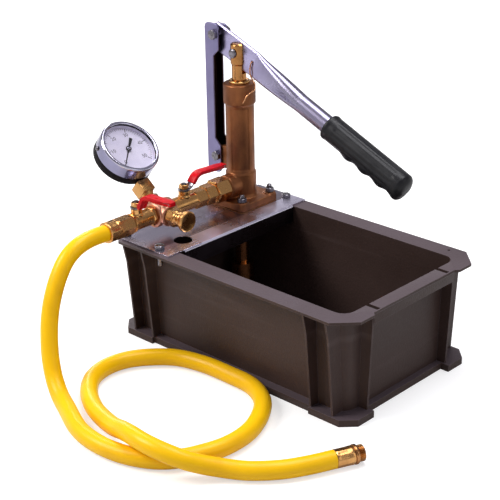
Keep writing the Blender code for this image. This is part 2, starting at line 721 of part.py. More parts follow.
def build_pump_body():
    axis = upright(PUMP_X, PUMP_Y)
    half = FLANGE / 2
    body = extruded("pump_body", rounded(half, half, FLANGE_RADIUS), flange_bottom, flange_top,
                    axis, CAST_BRONZE)
    for i, (x, y) in enumerate(flange_corners()):
        fuse(body, rod(f"corner_pad_{i}", PAD_RADIUS, flange_bottom + GAP, flange_top + PAD_HEIGHT,
                       upright(x, y), steps=16))
    barrel = [
        (0, flange_bottom + OVERRUN), (BOSS_RADIUS, flange_bottom + OVERRUN),
        (BOSS_RADIUS, BOTTOM_BOSS_TOP - CAST_EDGE), (BOSS_RADIUS - CAST_EDGE, BOTTOM_BOSS_TOP),
        (BARREL_RADIUS, BOTTOM_BOSS_TOP + CAST_EDGE), (BARREL_RADIUS, TOP_BOSS_BOTTOM - CAST_EDGE),
        (BOSS_RADIUS, TOP_BOSS_BOTTOM), (BOSS_RADIUS, BODY_TOP - CAST_EDGE),
        (BOSS_RADIUS - CAST_EDGE, BODY_TOP), (0, BODY_TOP)]
    fuse(body, turned("barrel", barrel, axis, steps=32))
    port_end = PUMP_Y - PORT_END
    port = [(0, 0), (PORT_RADIUS, 0), (PORT_RADIUS, port_end - CAST_EDGE),
            (PORT_RADIUS - CAST_EDGE, port_end), (0, port_end)]
    fuse(body, turned("port_boss", port, along_train(PUMP_Y)))

    lug_round = LUG_PIVOT[0] - LUG_END
    lug = arc(LUG_PIVOT, lug_round, math.radians(110), math.radians(250), 10)
    lug += [(PUMP_X, LUG_BOTTOM), (PUMP_X, LUG_TOP)]
    lug_place = across_linkage(0, 0, PUMP_Y + LUG_THICKNESS / 2)
    fuse(body, extruded("lug", lug, 0, LUG_THICKNESS, lug_place))

    panel_inside = BARREL_RADIUS - PANEL_DEPTH
    start = math.radians(PANEL_TURN - PANEL_HALF_TURN)
    end = math.radians(PANEL_TURN + PANEL_HALF_TURN)
    panel = arc((0, 0), panel_inside, start, end, 10)
    panel += arc((0, 0), BARREL_RADIUS + OVERRUN, end, start, 10)
    cut(body, extruded("panel", panel, PANEL_BOTTOM, PANEL_TOP, axis))

    seat_bottom = flange_bottom + SUCTION_SOCKET
    bore = [
        (0, flange_bottom - OVERRUN), (SUCTION_RADIUS + GAP, flange_bottom - OVERRUN),
        (SUCTION_RADIUS + GAP, seat_bottom), (CHECK_SEAT, seat_bottom),
        (CHECK_SEAT, SEAT_TOP - CHECK_SEAT), (CHAMBER_RADIUS, SEAT_TOP),
        (CHAMBER_RADIUS, BORE_BOTTOM), (BORE_RADIUS, BORE_BOTTOM), (BORE_RADIUS, PACKING_SEAT),
        (PACKING_RADIUS + GAP, PACKING_SEAT), (PACKING_RADIUS + GAP, BODY_TOP + OVERRUN),
        (0, BODY_TOP + OVERRUN)]
    cut(body, turned("bore", bore, axis))
    outlet = [(0, OVERRUN), (PASSAGE, OVERRUN), (PASSAGE, port_end - PORT_DEPTH),
              (PORT_BORE, port_end - PORT_DEPTH), (PORT_BORE, port_end + OVERRUN),
              (0, port_end + OVERRUN)]
    cut(body, turned("outlet_bore", outlet, along_train(PUMP_Y), steps=20))
    cut(body, rod("lug_hole", PIVOT_RADIUS + GAP, -LUG_THICKNESS, LUG_THICKNESS,
                  across_linkage(*LUG_PIVOT), steps=20))
    holes = bmesh.new()
    for x, y in flange_corners():
        ring = [(x + px, y + py) for px, py in arc((0, 0), SCREW_HOLE, 0, math.tau, HOLE_STEPS)[:-1]]
        prism(holes, ring, flange_bottom - OVERRUN, flange_top + PAD_HEIGHT + OVERRUN)
    cut(body, solid("flange_holes", holes, None))


def build_flange_fasteners():
    half = FLANGE / 2
    gasket = extruded("flange_gasket", rounded(half, half, FLANGE_RADIUS), gasket_bottom,
                      gasket_bottom + GASKET, upright(PUMP_X, PUMP_Y), BLACK_RUBBER)
    low, high = gasket_bottom - OVERRUN, gasket_bottom + GASKET + OVERRUN
    cut(gasket, rod("gasket_hole", SUCTION_RADIUS + OVERRUN, low, high, upright(PUMP_X, PUMP_Y)))
    holes = bmesh.new()
    for x, y in flange_corners():
        ring = [(x + px, y + py) for px, py in arc((0, 0), SCREW_HOLE, 0, math.tau, HOLE_STEPS)[:-1]]
        prism(holes, ring, low, high)
    cut(gasket, solid("gasket_holes", holes, None))
    nut_low = flange_top + PAD_HEIGHT + GAP
    names = ("front_left", "front_right", "back_right", "back_left")
    for name, (x, y) in zip(names, flange_corners()):
        name = "flange_screw_" + name
        place = upright(x, y)
        screw = chamfered_hex(name, HEX_M6, nut_low, nut_low + NUT_M6_HEIGHT, place, FASTENER)
        tip = nut_low + NUT_M6_HEIGHT + SCREW_TAIL
        fuse(screw, rod(name + "_shank", SCREW_RADIUS, plate_bottom + GAP, tip, place, steps=12))


# Plunger, seals and gland

def build_plunger():
    axis = upright(PUMP_X, PUMP_Y)
    groove = ROD_RADIUS - SEAL_GROOVE
    seal_top = SEAL_PLACE + SEAL_HEIGHT
    profile = [
        (0, ROD_BOTTOM), (ROD_RADIUS - ROD_EDGE / 2, ROD_BOTTOM), (ROD_RADIUS, ROD_BOTTOM + ROD_EDGE),
        (ROD_RADIUS, SEAL_PLACE - GAP), (groove, SEAL_PLACE - GAP), (groove, seal_top + GAP),
        (ROD_RADIUS, seal_top + GAP), (ROD_RADIUS, ROD_HEAD_BOTTOM - ROD_EDGE),
        (ROD_HEAD_RADIUS, ROD_HEAD_BOTTOM), (ROD_HEAD_RADIUS, ROD_TOP - ROD_EDGE),
        (ROD_HEAD_RADIUS - ROD_EDGE, ROD_TOP), (0, ROD_TOP)]
    plunger = turned("plunger_rod", profile, axis, BRASS, steps=28)
    clevis = rectangle(2 * ROD_HEAD_RADIUS, CLEVIS_SLOT / 2)
    cut(plunger, extruded("clevis_slot", clevis, CLEVIS_SLOT_BOTTOM, ROD_TOP + OVERRUN, axis))
    cut(plunger, rod("clevis_hole", PIN_RADIUS + GAP, -2 * ROD_HEAD_RADIUS, 2 * ROD_HEAD_RADIUS,
                     across_linkage(PUMP_X, ROD_PIN_Z), steps=20))
    ring = [(groove + GAP, SEAL_PLACE), (BORE_RADIUS - GAP, SEAL_PLACE),
            (BORE_RADIUS - GAP, seal_top), (groove + GAP, seal_top)]
    seal = turned("plunger_seal", ring, axis, BLACK_RUBBER)

    head_reach = ROD_HEAD_RADIUS + GAP
    shank_end = -ROD_HEAD_RADIUS - PIN_HEAD
    pin_place = across_linkage(PUMP_X, ROD_PIN_Z)
    profile = [
        (0, shank_end), (PIN_RADIUS, shank_end), (PIN_RADIUS, head_reach),
        (PIN_HEAD_RADIUS, head_reach), (PIN_HEAD_RADIUS, head_reach + PIN_HEAD / 2),
        (PIN_RADIUS, head_reach + PIN_HEAD), (0, head_reach + PIN_HEAD)]
    pin = turned("rod_pin", profile, pin_place, STAINLESS, steps=20)

    inside = ROD_RADIUS + GAP
    packing_top = PACKING_SEAT + GAP + PACKING_HEIGHT
    ring = [(inside, PACKING_SEAT + GAP), (PACKING_RADIUS, PACKING_SEAT + GAP),
            (PACKING_RADIUS, packing_top), (inside, packing_top)]
    turned("gland_packing", ring, axis, BLACK_RUBBER)
    gland_low = BODY_TOP + GAP
    gland = [
        (inside, packing_top + GAP), (PACKING_RADIUS, packing_top + GAP), (PACKING_RADIUS, gland_low),
        (GLAND_RADIUS, gland_low), (GLAND_RADIUS, gland_low + GLAND_HEIGHT - CAST_EDGE),
        (GLAND_RADIUS - CAST_EDGE, gland_low + GLAND_HEIGHT), (inside, gland_low + GLAND_HEIGHT)]
    turned("gland_nut", gland, axis, BRASS)
    return [plunger, seal, pin]


# Linkage

def link_outline():
    """Side view of the channel's cheek, from its web's outer face."""
    wide = LINK_BACK + LINK_WIDE
    narrow = LINK_BACK + LINK_NARROW
    quarter = math.pi / 2
    corner = LINK_CORNER
    points = arc((wide - corner, LINK_TOP - corner), corner, 0, quarter, 4)
    points += arc((LINK_BACK + corner, LINK_TOP - corner), corner, quarter, 2 * quarter, 4)
    points += arc((LINK_BACK + corner, LINK_BOTTOM + corner), corner, 2 * quarter, 3 * quarter, 4)
    points += arc((wide - corner, LINK_BOTTOM + corner), corner, 3 * quarter, 4 * quarter, 4)
    points += [(wide, LINK_CHEEK_LOWER), (narrow, LINK_CHEEK_LOWER + LINK_TAPER)]
    points += [(narrow, LINK_CHEEK_UPPER - LINK_TAPER), (wide, LINK_CHEEK_UPPER)]
    return points


def build_link():
    half = LINK_OUTSIDE / 2
    place = across_linkage(0, 0, PUMP_Y + half)
    link = extruded("link_channel", link_outline(), 0, LINK_OUTSIDE, place, LINK_STEEL)
    inside = rectangle(LINK_WIDE / 2 + OVERRUN, (LINK_TOP - LINK_BOTTOM) / 2 + OVERRUN)
    middle_x = LINK_BACK + LINK_SHEET + LINK_WIDE / 2 + OVERRUN
    middle_z = (LINK_TOP + LINK_BOTTOM) / 2
    channel_place = across_linkage(middle_x, middle_z, PUMP_Y + half - LINK_SHEET)
    cut(link, extruded("link_inside", inside, 0, LINK_OUTSIDE - 2 * LINK_SHEET, channel_place))
    for name, spot in (("upper", LINK_PIVOT), ("lower", LUG_PIVOT)):
        cut(link, rod(f"link_{name}_hole", PIVOT_RADIUS + GAP, -LINK_OUTSIDE, LINK_OUTSIDE,
                      across_linkage(*spot), steps=20))
    pieces = [link]
    for name, spot in (("link_upper_bolt", LINK_PIVOT), ("link_lower_bolt", LUG_PIVOT)):
        place = across_linkage(*spot)
        outside = half + GAP
        bolt = chamfered_hex(name, PIVOT_HEX, outside, outside + PIVOT_HEX_HEIGHT, place, FASTENER,
                             ends=(False, True))
        tail = -outside - NUT_M6_HEIGHT - SCREW_TAIL / 2
        fuse(bolt, rod(name + "_shank", PIVOT_RADIUS, tail, outside + OVERRUN, place, steps=20))
        nut = chamfered_hex(name + "_nut", PIVOT_HEX, -outside - NUT_M6_HEIGHT, -outside, place,
                            turn=NUT_TURN, ends=(True, False))
        fuse(bolt, nut)
        pieces.append(bolt)
    return pieces


def lever_section(distance, half_height, half_thickness, corner, slope):
    """A rounded section of the lever at this distance from its knee."""
    knee = Vector((LEVER_KNEE[0], PUMP_Y, LEVER_KNEE[1]))
    ahead = Vector((math.cos(slope), 0, math.sin(slope)))
    rise = Vector((-math.sin(slope), 0, math.cos(slope)))
    out = Vector((0, 1, 0))
    centre = knee + ahead * distance
    return [centre + rise * h + out * t
            for h, t in rounded(half_height, half_thickness, corner, LEVER_CORNER_STEPS)]


def build_lever():
    """The tube's section turns from a round one into a flat one along the blend."""
    flat_t = LEVER_FLAT_THICKNESS / 2
    flat_reach = (LINK_BACK + LINK_SHEET - LEVER_KNEE[0]) / math.cos(LEVER_FLAT_SLOPE)
    sections = [lever_section(flat_reach, LEVER_FLAT_HALF, flat_t, flat_t - GAP, LEVER_FLAT_SLOPE),
                lever_section(0, LEVER_FLAT_HALF, flat_t, flat_t - GAP, LEVER_FLAT_SLOPE)]
    for step in range(1, BLEND_STEPS + 1):
        share = step / BLEND_STEPS
        ease = share * share * (3 - 2 * share)
        height = LEVER_FLAT_HALF + (LEVER_TUBE - LEVER_FLAT_HALF) * ease
        thick = flat_t + (LEVER_TUBE - flat_t) * math.sqrt(ease)
        corner = min(height, thick) - GAP * (1 - share) - MERGE
        sections.append(lever_section(LEVER_BLEND * share, height, thick, corner, LEVER_TUBE_SLOPE))
    start = Vector((GRIP_START[0] - LEVER_KNEE[0], GRIP_START[1] - LEVER_KNEE[1]))
    end = start.length + TUBE_IN_GRIP
    sections.append(lever_section(end, LEVER_TUBE, LEVER_TUBE, LEVER_TUBE - MERGE, LEVER_TUBE_SLOPE))
    lever = lofted("lever", sections, Matrix(), LINK_STEEL)

    # The upper end is rounded about the link pivot so that it clears the channel's web.
    round_end = arc(LINK_PIVOT, LEVER_END_ROUND, math.radians(60), math.radians(200), 12)
    outside = [(LINK_PIVOT[0] - LINK_WIDE, LINK_PIVOT[1] - LINK_NARROW / 4),
               (LINK_PIVOT[0] - LINK_WIDE, LINK_PIVOT[1] + LINK_WIDE),
               (LINK_PIVOT[0] + LINK_NARROW, LINK_PIVOT[1] + LINK_WIDE)]
    trim_place = across_linkage(0, 0, PUMP_Y + LINK_OUTSIDE / 2)
    cut(lever, extruded("lever_trim", round_end + outside, 0, LINK_OUTSIDE, trim_place))
    left = LINK_BACK - LINK_NARROW
    below = [(left, LINK_PIVOT[1]), (left, LINK_PIVOT[1] - 2 * LINK_WIDE),
             (LINK_PIVOT[0] - LEVER_END_ROUND, LINK_PIVOT[1] - 2 * LINK_WIDE),
             (LINK_PIVOT[0] - LEVER_END_ROUND, LINK_PIVOT[1])]
    cut(lever, extruded("lever_end_trim", below, 0, LINK_OUTSIDE, trim_place))

    reach = LINK_OUTSIDE
    cut(lever, rod("lever_hole", PIVOT_RADIUS + GAP, -reach, reach, across_linkage(*LINK_PIVOT),
                   steps=20))
    slot = arc((LEVER_SLOT_HALF, 0), PIN_RADIUS + PIN_PLAY, -math.pi / 2, math.pi / 2, 8)
    slot += arc((-LEVER_SLOT_HALF, 0), PIN_RADIUS + PIN_PLAY, math.pi / 2, 3 * math.pi / 2, 8)
    tilt = Matrix.Rotation(SLOT_TILT, 4, 'Z')
    slot_place = across_linkage(PUMP_X + SLOT_SHIFT[0], ROD_PIN_Z + SLOT_SHIFT[1]) @ tilt
    cut(lever, extruded("lever_slot", slot, -reach, reach, slot_place))
    cut(lever, rod("wire_hole", WIRE_HOLE, -reach, reach, across_linkage(*WIRE_HOLE_PLACE), steps=12))
    return lever


def build_grip():
    """Moulded grip: round, with finger waves along its underside and a domed end."""
    place = placed((GRIP_START[0], PUMP_Y, GRIP_START[1]),
                   (math.cos(LEVER_TUBE_SLOPE), 0, math.sin(LEVER_TUBE_SLOPE)), (0, 0, 1))
    rings = []
    stations = [GRIP_LENGTH * i / GRIP_STATIONS for i in range(GRIP_STATIONS + 1)]
    for s in stations:
        rings.append(grip_ring(s))
    grip = lofted("hand_grip", rings, place, BLACK_RUBBER)
    inside = LEVER_TUBE + GAP
    cut(grip, rod("grip_bore", inside, -OVERRUN, TUBE_IN_GRIP + OVERRUN, place, steps=24))
    return grip


def grip_ring(s):
    """Section at distance s along the grip; local X is the upper side."""
    end_share = max(0.0, (s - GRIP_LENGTH + GRIP_RADIUS / 2) / (GRIP_RADIUS / 2))
    dome = math.sqrt(max(0.0, 1 - (end_share * DOME_SHARE) ** 2))
    start_share = max(0.0, 1 - s / GRIP_WALL)
    radius = GRIP_RADIUS + (GRIP_COLLAR - GRIP_RADIUS) * max(0.0, 1 - s / (2 * GRIP_WALL))
    radius = (radius - start_share * start_share * GRIP_WALL / 3) * dome
    phase = (s - GRIP_FIRST_PEAK) / GRIP_PITCH * math.tau
    in_fingers = GRIP_FIRST_PEAK - GRIP_PITCH / 2 < s < GRIP_FIRST_PEAK + GRIP_PITCH * (
        GRIP_FINGERS - 1) + GRIP_PITCH / 2
    wave = (0.5 + 0.5 * math.cos(phase)) if in_fingers else 0.0
    ring = []
    for i in range(GRIP_SIDES):
        a = math.tau * i / GRIP_SIDES
        below = max(0.0, -math.cos(a))
        r = radius + FINGER_DEPTH * wave * below * below
        ring.append((r * math.cos(a), r * math.sin(a), s))
    return ring


# Tie wire

def build_tie_wire():
    """A twisted copper wire hung through the lever's hole."""
    x, z = WIRE_HOLE_PLACE
    face = PUMP_Y - LEVER_FLAT_THICKNESS / 2 - WIRE_RADIUS - GAP
    back = PUMP_Y + LEVER_FLAT_THICKNESS / 2 + WIRE_RADIUS + GAP
    hole = Vector((x, PUMP_Y, z))
    route = [hole + Vector(step) for step in WIRE_BACK]
    route += [Vector((x, back, z)), Vector((x, face, z))]
    route += [hole + Vector(step) for step in WIRE_FRONT]
    return tube("tie_wire", route, WIRE_RADIUS, COPPER, WIRE_POINTS, 1)


def smooth(points, count):
    """Evenly spaced points on a centripetal curve through the given ones."""
    ends = [2 * points[0] - points[1]] + list(points) + [2 * points[-1] - points[-2]]
    fine = []
    for a, b, c, d in zip(ends, ends[1:], ends[2:], ends[3:]):
        t1 = math.sqrt((b - a).length)
        t2 = t1 + math.sqrt((c - b).length)
        t3 = t2 + math.sqrt((d - c).length)
        for i in range(CURVE_STEPS):
            t = t1 + (t2 - t1) * i / CURVE_STEPS
            a1 = a * ((t1 - t) / t1) + b * (t / t1)
            a2 = b * ((t2 - t) / (t2 - t1)) + c * ((t - t1) / (t2 - t1))
            a3 = c * ((t3 - t) / (t3 - t2)) + d * ((t - t2) / (t3 - t2))
            b1 = a1 * ((t2 - t) / t2) + a2 * (t / t2)
            b2 = a2 * ((t3 - t) / (t3 - t1)) + a3 * ((t - t1) / (t3 - t1))
            fine.append(b1 * ((t2 - t) / (t2 - t1)) + b2 * ((t - t1) / (t2 - t1)))
    fine.append(points[-1])
    reach = [0.0]
    for a, b in zip(fine, fine[1:]):
        reach.append(reach[-1] + (b - a).length)
    even = []
    at = 0
    for i in range(count):
        goal = reach[-1] * i / (count - 1)
        while at < len(reach) - 2 and reach[at + 1] < goal:
            at += 1
        share = (goal - reach[at]) / (reach[at + 1] - reach[at])
        even.append(fine[at].lerp(fine[at + 1], min(1.0, share)))
    return even


def tube(name, points, radius, material, count, sides):
    """A round tube along a smooth curve, as a curve object with filled caps."""
    curve = bpy.data.curves.new(name, 'CURVE')
    curve.dimensions = '3D'
    curve.bevel_depth = radius
    curve.bevel_resolution = sides
    curve.use_fill_caps = True
    line = curve.splines.new('POLY')
    even = smooth(points, count)
    line.points.add(len(even) - 1)
    for target, point in zip(line.points, even):
        target.co = (*point, 1)
    obj = bpy.data.objects.new(name, curve)
    curve.materials.append(material)
    bpy.context.scene.collection.objects.link(obj)
    return obj


# Suction side and check valves

def build_suction():
    axis = upright(PUMP_X, PUMP_Y)
    top = flange_bottom + SUCTION_SOCKET - GAP
    profile = [(SUCTION_BORE, SUCTION_BOTTOM), (SUCTION_RADIUS, SUCTION_BOTTOM),
               (SUCTION_RADIUS, top), (SUCTION_BORE, top)]
    turned("suction_pipe", profile, axis, BRASS)
    inside = STRAINER_RADIUS - STRAINER_WALL
    collar = SUCTION_RADIUS + GAP
    profile = [
        (0, STRAINER_BOTTOM), (STRAINER_RADIUS, STRAINER_BOTTOM), (STRAINER_RADIUS, STRAINER_TOP),
        (collar, STRAINER_TOP), (collar, SUCTION_BOTTOM - GAP), (SUCTION_BORE, SUCTION_BOTTOM - GAP),
        (SUCTION_BORE, SUCTION_BOTTOM - GAP - STRAINER_WALL),
        (inside, SUCTION_BOTTOM - GAP - 2 * STRAINER_WALL), (inside, STRAINER_BOTTOM + STRAINER_WALL),
        (0, STRAINER_BOTTOM + STRAINER_WALL)]
    strainer = turned("suction_strainer", profile, axis, NYLON, steps=30)
    slots = bmesh.new()
    for i in range(STRAINER_SLOTS):
        turn = Matrix.Rotation(math.tau * i / STRAINER_SLOTS, 4, 'Z')
        box = bmesh.ops.create_cube(slots, size=1)["verts"]
        height = SUCTION_BOTTOM - STRAINER_BOTTOM - 6 * STRAINER_WALL
        bmesh.ops.scale(slots, verts=box, vec=(4 * STRAINER_WALL, STRAINER_SLOT, height))
        middle = (inside + STRAINER_WALL / 2, 0, STRAINER_BOTTOM + 2 * STRAINER_WALL + height / 2)
        bmesh.ops.translate(slots, verts=box, vec=middle)
        bmesh.ops.transform(slots, matrix=axis @ turn, verts=box)
    cut(strainer, solid("strainer_slots", slots, None))

    rest = (PUMP_X, PUMP_Y, BALL_REST)
    pivot("suction_ball_slide", rest, [ball("suction_ball", rest, CHECK_BALL)])


def ball(name, centre, radius, material=None):
    profile = [(radius * math.sin(a), -radius * math.cos(a))
               for a in [math.pi * i / 8 for i in range(9)]]
    profile[0] = (0, -radius)
    profile[-1] = (0, radius)
    return turned(name, profile, Matrix.Translation(centre), material or STAINLESS, steps=16)


# Fitting train

def build_port_fittings():
    """Hex connector in the pump's port, and the nipple that the valve screws onto."""
    start, end = PORT_HEX_Y
    length = start - end
    place = along_train(start)
    connector = chamfered_hex("port_connector", PORT_HEX, 0, length, place, BRASS, turn=math.pi / 6)
    spigot = PORT_BORE - GAP
    reach = PUMP_Y - PORT_END - PORT_DEPTH + GAP
    inner = start - (PUMP_Y - reach)
    fuse(connector, rod("connector_spigot", spigot, inner, OVERRUN, place))
    cut(connector, rod("connector_bore", PASSAGE + GAP, inner - OVERRUN, length + OVERRUN, place,
                       steps=20))
    socket = [(0, length - SOCKET_DEPTH), (NIPPLE_RADIUS + GAP, length - SOCKET_DEPTH),
              (NIPPLE_RADIUS + GAP, length + OVERRUN), (0, length + OVERRUN)]
    cut(connector, turned("connector_socket", socket, place, steps=20))

    start, end = NIPPLE_HEX_Y
    length = start - end
    place = along_train(start)
    nipple = chamfered_hex("hex_nipple", NIPPLE_HEX, 0, length, place, BRASS, turn=math.pi / 6)
    fuse(nipple, rod("nipple_thread", NIPPLE_RADIUS, GAP - SOCKET_DEPTH, OVERRUN, place))
    fuse(nipple, rod("nipple_thread_out", NIPPLE_RADIUS, length - OVERRUN,
                     length + SOCKET_DEPTH - GAP, place))
    cut(nipple, rod("nipple_bore", PASSAGE, -SOCKET_DEPTH - OVERRUN, length + SOCKET_DEPTH + OVERRUN,
                    place, steps=20))


def build_valve(name, spec, handle, direction, flow_open):
    """Ball valve: body, ball with its stem, strip handle, vinyl sleeve and stem nut."""
    stem_y = spec["stem"]
    place = along_train(stem_y)
    inlet = stem_y - spec["inlet"]
    outlet = stem_y - spec["outlet"]
    hex_end = inlet + spec["hex"]
    body = chamfered_hex(name + "_body", VALVE_HEX, inlet, hex_end, place, BRASS, turn=math.pi / 6)
    collar = VALVE_COLLAR
    outside = [
        (0, hex_end - OVERRUN), (VALVE_RADIUS, hex_end - OVERRUN),
        (VALVE_RADIUS, outlet - COLLAR_WIDTH - CAST_EDGE), (collar, outlet - COLLAR_WIDTH),
        (collar, outlet), (0, outlet)]
    fuse(body, turned(name + "_barrel", outside, place))
    above = upright(PUMP_X, stem_y)
    fuse(body, rod(name + "_bonnet", BONNET_RADIUS, TRAIN_Z + OVERRUN, BONNET_TOP, above))
    thread = SOCKET_DEPTH - GAP
    if spec["male_outlet"]:
        fuse(body, rod(name + "_thread", THREAD_RADIUS, outlet - OVERRUN, outlet + thread, place))
    else:
        fuse(body, rod(name + "_thread", THREAD_RADIUS, inlet - thread, inlet + OVERRUN, place))
    pocket = BALL_RADIUS + GAP
    reach = math.sqrt(pocket ** 2 - VALVE_BORE ** 2)
    spread = math.acos(reach / pocket)
    turns = [spread + (math.pi - 2 * spread) * i / 6 for i in range(1, 6)]
    dome = [(pocket * math.sin(a), -pocket * math.cos(a)) for a in turns]
    socket = NIPPLE_RADIUS + GAP
    if spec["male_outlet"]:
        deep = inlet + spec["socket"]
        bore = [(0, inlet - OVERRUN), (socket, inlet - OVERRUN), (socket, deep), (VALVE_BORE, deep)]
        tail = [(VALVE_BORE, outlet + SOCKET_DEPTH + OVERRUN), (0, outlet + SOCKET_DEPTH + OVERRUN)]
    else:
        deep = outlet - spec["socket"]
        start = inlet - SOCKET_DEPTH - OVERRUN
        bore = [(0, start), (VALVE_BORE, start)]
        tail = [(VALVE_BORE, deep), (socket, deep), (socket, outlet + OVERRUN), (0, outlet + OVERRUN)]
    bore += [(VALVE_BORE, -reach)] + dome + [(VALVE_BORE, reach)] + tail
    cut(body, turned(name + "_bore", bore, place, steps=16))
    cut(body, rod(name + "_stem_hole", STEM_RADIUS + GAP, TRAIN_Z + OVERRUN, BONNET_TOP + OVERRUN,
                  above, steps=18))

    centre = (PUMP_X, stem_y, TRAIN_Z)
    stem = ball(name + "_ball", centre, BALL_RADIUS, STAINLESS)
    fuse(stem, rod(name + "_stem", STEM_RADIUS, TRAIN_Z, STEM_TOP, above, steps=18))
    flow = placed(centre, (0, -1, 0) if flow_open else (1, 0, 0), (0, 0, 1))
    cut(stem, rod(name + "_ball_hole", BALL_BORE, -2 * BALL_RADIUS, 2 * BALL_RADIUS, flow, steps=18))

    strip, sleeve = build_handle(name, handle, direction, above)
    low, high = STEM_NUT
    nut = chamfered_hex(name + "_stem_nut", STEM_NUT_HEX, low, high, above, BRASS, turn=0.4)
    cut(nut, rod(name + "_nut_hole", STEM_RADIUS + GAP, low - OVERRUN, high + OVERRUN, above,
                 steps=18))
    pivot(name + "_turn", centre, [stem, strip, sleeve, nut])


def ribbon(points, thickness):
    """Outline of a strip of even thickness about an open run of (x, z) points."""
    upper, lower = [], []
    for i, point in enumerate(points):
        before = points[max(0, i - 1)]
        after = points[min(len(points) - 1, i + 1)]
        ahead = (Vector(after) - Vector(before)).normalized()
        normal = Vector((-ahead[1], ahead[0])) * thickness / 2
        upper.append(tuple(Vector(point) + normal))
        lower.append(tuple(Vector(point) - normal))
    return upper + lower[::-1]


def handle_line(handle):
    """Side view of the bent strip: flat root, steep rise, knee, long arm."""
    root = (0.0, HANDLE_Z + STRIP / 2)
    bend = (HANDLE_RISE_START, HANDLE_Z + STRIP / 2)
    knee = (handle["knee"][0], HANDLE_Z + handle["knee"][1])
    tip = (handle["tip"][0], HANDLE_Z + handle["tip"][1])
    line = [root]
    for corner, before, after in ((bend, root, knee), (knee, bend, tip)):
        near = Vector(corner).lerp(Vector(before), BEND_SHARE)
        far = Vector(corner).lerp(Vector(after), BEND_SHARE / 2)
        for i in range(5):
            t = i / 4
            a = near.lerp(Vector(corner), t)
            b = Vector(corner).lerp(far, t)
            line.append(tuple(a.lerp(b, t)))
    line.append(tip)
    return line


def build_handle(name, handle, direction, above):
    """Strip handle around the stem, pointing along direction, in a vinyl sleeve."""
    side = Vector((-direction[1], direction[0], 0))
    line = handle_line(handle)
    upright_plane = placed(above.translation, side, direction)
    # In this plane local X runs along the handle and local Y is down or up by turn.
    flip = -1 if (upright_plane.to_3x3() @ Vector((0, 1, 0)))[2] < 0 else 1
    outline = [(x, z * flip) for x, z in ribbon(line, STRIP)]
    half = STRIP_WIDTH / 2
    strip = extruded(name + "_handle", outline, -half, half, upright_plane, FASTENER)
    low, high = HANDLE_Z, HANDLE_Z + STRIP
    fuse(strip, rod(name + "_handle_ring", ROOT_RING, low, high, above, steps=24))
    cut(strip, rod(name + "_handle_hole", STEM_RADIUS + GAP, low - OVERRUN, high + OVERRUN, above,
                   steps=18))

    start = int(len(line) * SLEEVE_START_SHARE)
    covered = line[start:]
    ahead = (Vector(covered[-1]) - Vector(covered[-2])).normalized()
    beyond = Vector(covered[-1]) + ahead * 2 * SLEEVE_WALL
    skin = ribbon(covered[:-1] + [tuple(beyond)], STRIP + 2 * SLEEVE_WALL + 2 * GAP)
    skin = [(x, z * flip) for x, z in skin]
    half_skin = half + SLEEVE_WALL + GAP
    sleeve = extruded(name + "_sleeve", skin, -half_skin, half_skin, upright_plane, RED_VINYL)
    soft = sleeve.modifiers.new("soft_edges", 'BEVEL')
    soft.width = SLEEVE_WALL
    soft.segments = 2
    soft.limit_method = 'ANGLE'
    soft.angle_limit = math.radians(50)
    before = Vector(line[start]) - (Vector(line[start + 1]) - Vector(line[start])).normalized() * OVERRUN
    end = Vector(covered[-1]) + ahead * GAP
    pocket = ribbon([tuple(before)] + covered[:-1] + [tuple(end)], STRIP + 2 * GAP)
    pocket = [(x, z * flip) for x, z in pocket]
    cut(sleeve, extruded(name + "_pocket", pocket, -half - GAP, half + GAP, upright_plane))
    return strip, sleeve


# Manifold and relief valve

def gauge_frame():
    """Gauge stem direction from the manifold outwards, and the dial's normal."""
    outward = Vector((-math.cos(GAUGE_SLOPE), 0, math.sin(GAUGE_SLOPE)))
    normal = Vector((math.sin(GAUGE_SLOPE), 0, math.cos(GAUGE_SLOPE)))
    return outward, normal


def build_manifold():
    centre = (PUMP_X, MANIFOLD_Y, TRAIN_Z)
    outward, _ = gauge_frame()
    train = along_train(MANIFOLD_Y)
    edge = CAST_EDGE
    back, front = -MANIFOLD_BACK_REACH, MANIFOLD_FRONT_REACH
    run = [(0, back), (MANIFOLD_RADIUS - edge, back), (MANIFOLD_RADIUS, back + edge),
           (MANIFOLD_RADIUS, front - edge), (MANIFOLD_RADIUS - edge, front), (0, front)]
    manifold = turned("manifold", run, train, MANIFOLD_BRONZE)
    relief = placed(centre, (1, 0, 0), (0, 0, 1))
    reach = MANIFOLD_RELIEF_REACH
    radius = MANIFOLD_RADIUS - BRANCH_TRIM
    branch = [(0, 0), (radius, 0), (radius, reach - edge), (radius - edge, reach), (0, reach)]
    fuse(manifold, turned("relief_branch", branch, relief))
    gauge = placed(centre, outward, (0, 1, 0))
    reach = MANIFOLD_GAUGE_REACH
    radius = GAUGE_BRANCH_RADIUS
    branch = [(0, 0), (radius, 0), (radius, reach - edge), (radius - edge, reach), (0, reach)]
    fuse(manifold, turned("gauge_branch", branch, gauge))
    socket = THREAD_RADIUS + GAP
    bore = [(0, back - OVERRUN), (socket, back - OVERRUN), (socket, back + SOCKET_DEPTH),
            (PASSAGE, back + SOCKET_DEPTH), (PASSAGE, front - SOCKET_DEPTH),
            (socket, front - SOCKET_DEPTH), (socket, front + OVERRUN), (0, front + OVERRUN)]
    cut(manifold, turned("manifold_bore", bore, train, steps=20))
    for label, place, reach, size in (
            ("relief", relief, MANIFOLD_RELIEF_REACH, RELIEF_THREAD),
            ("gauge", gauge, MANIFOLD_GAUGE_REACH, NECK_RADIUS)):
        size += GAP
        bore = [(0, OVERRUN), (BRANCH_PASSAGE, OVERRUN), (BRANCH_PASSAGE, reach - SOCKET_DEPTH),
                (size, reach - SOCKET_DEPTH), (size, reach + OVERRUN), (0, reach + OVERRUN)]
        cut(manifold, turned(label + "_branch_bore", bore, place, steps=20))


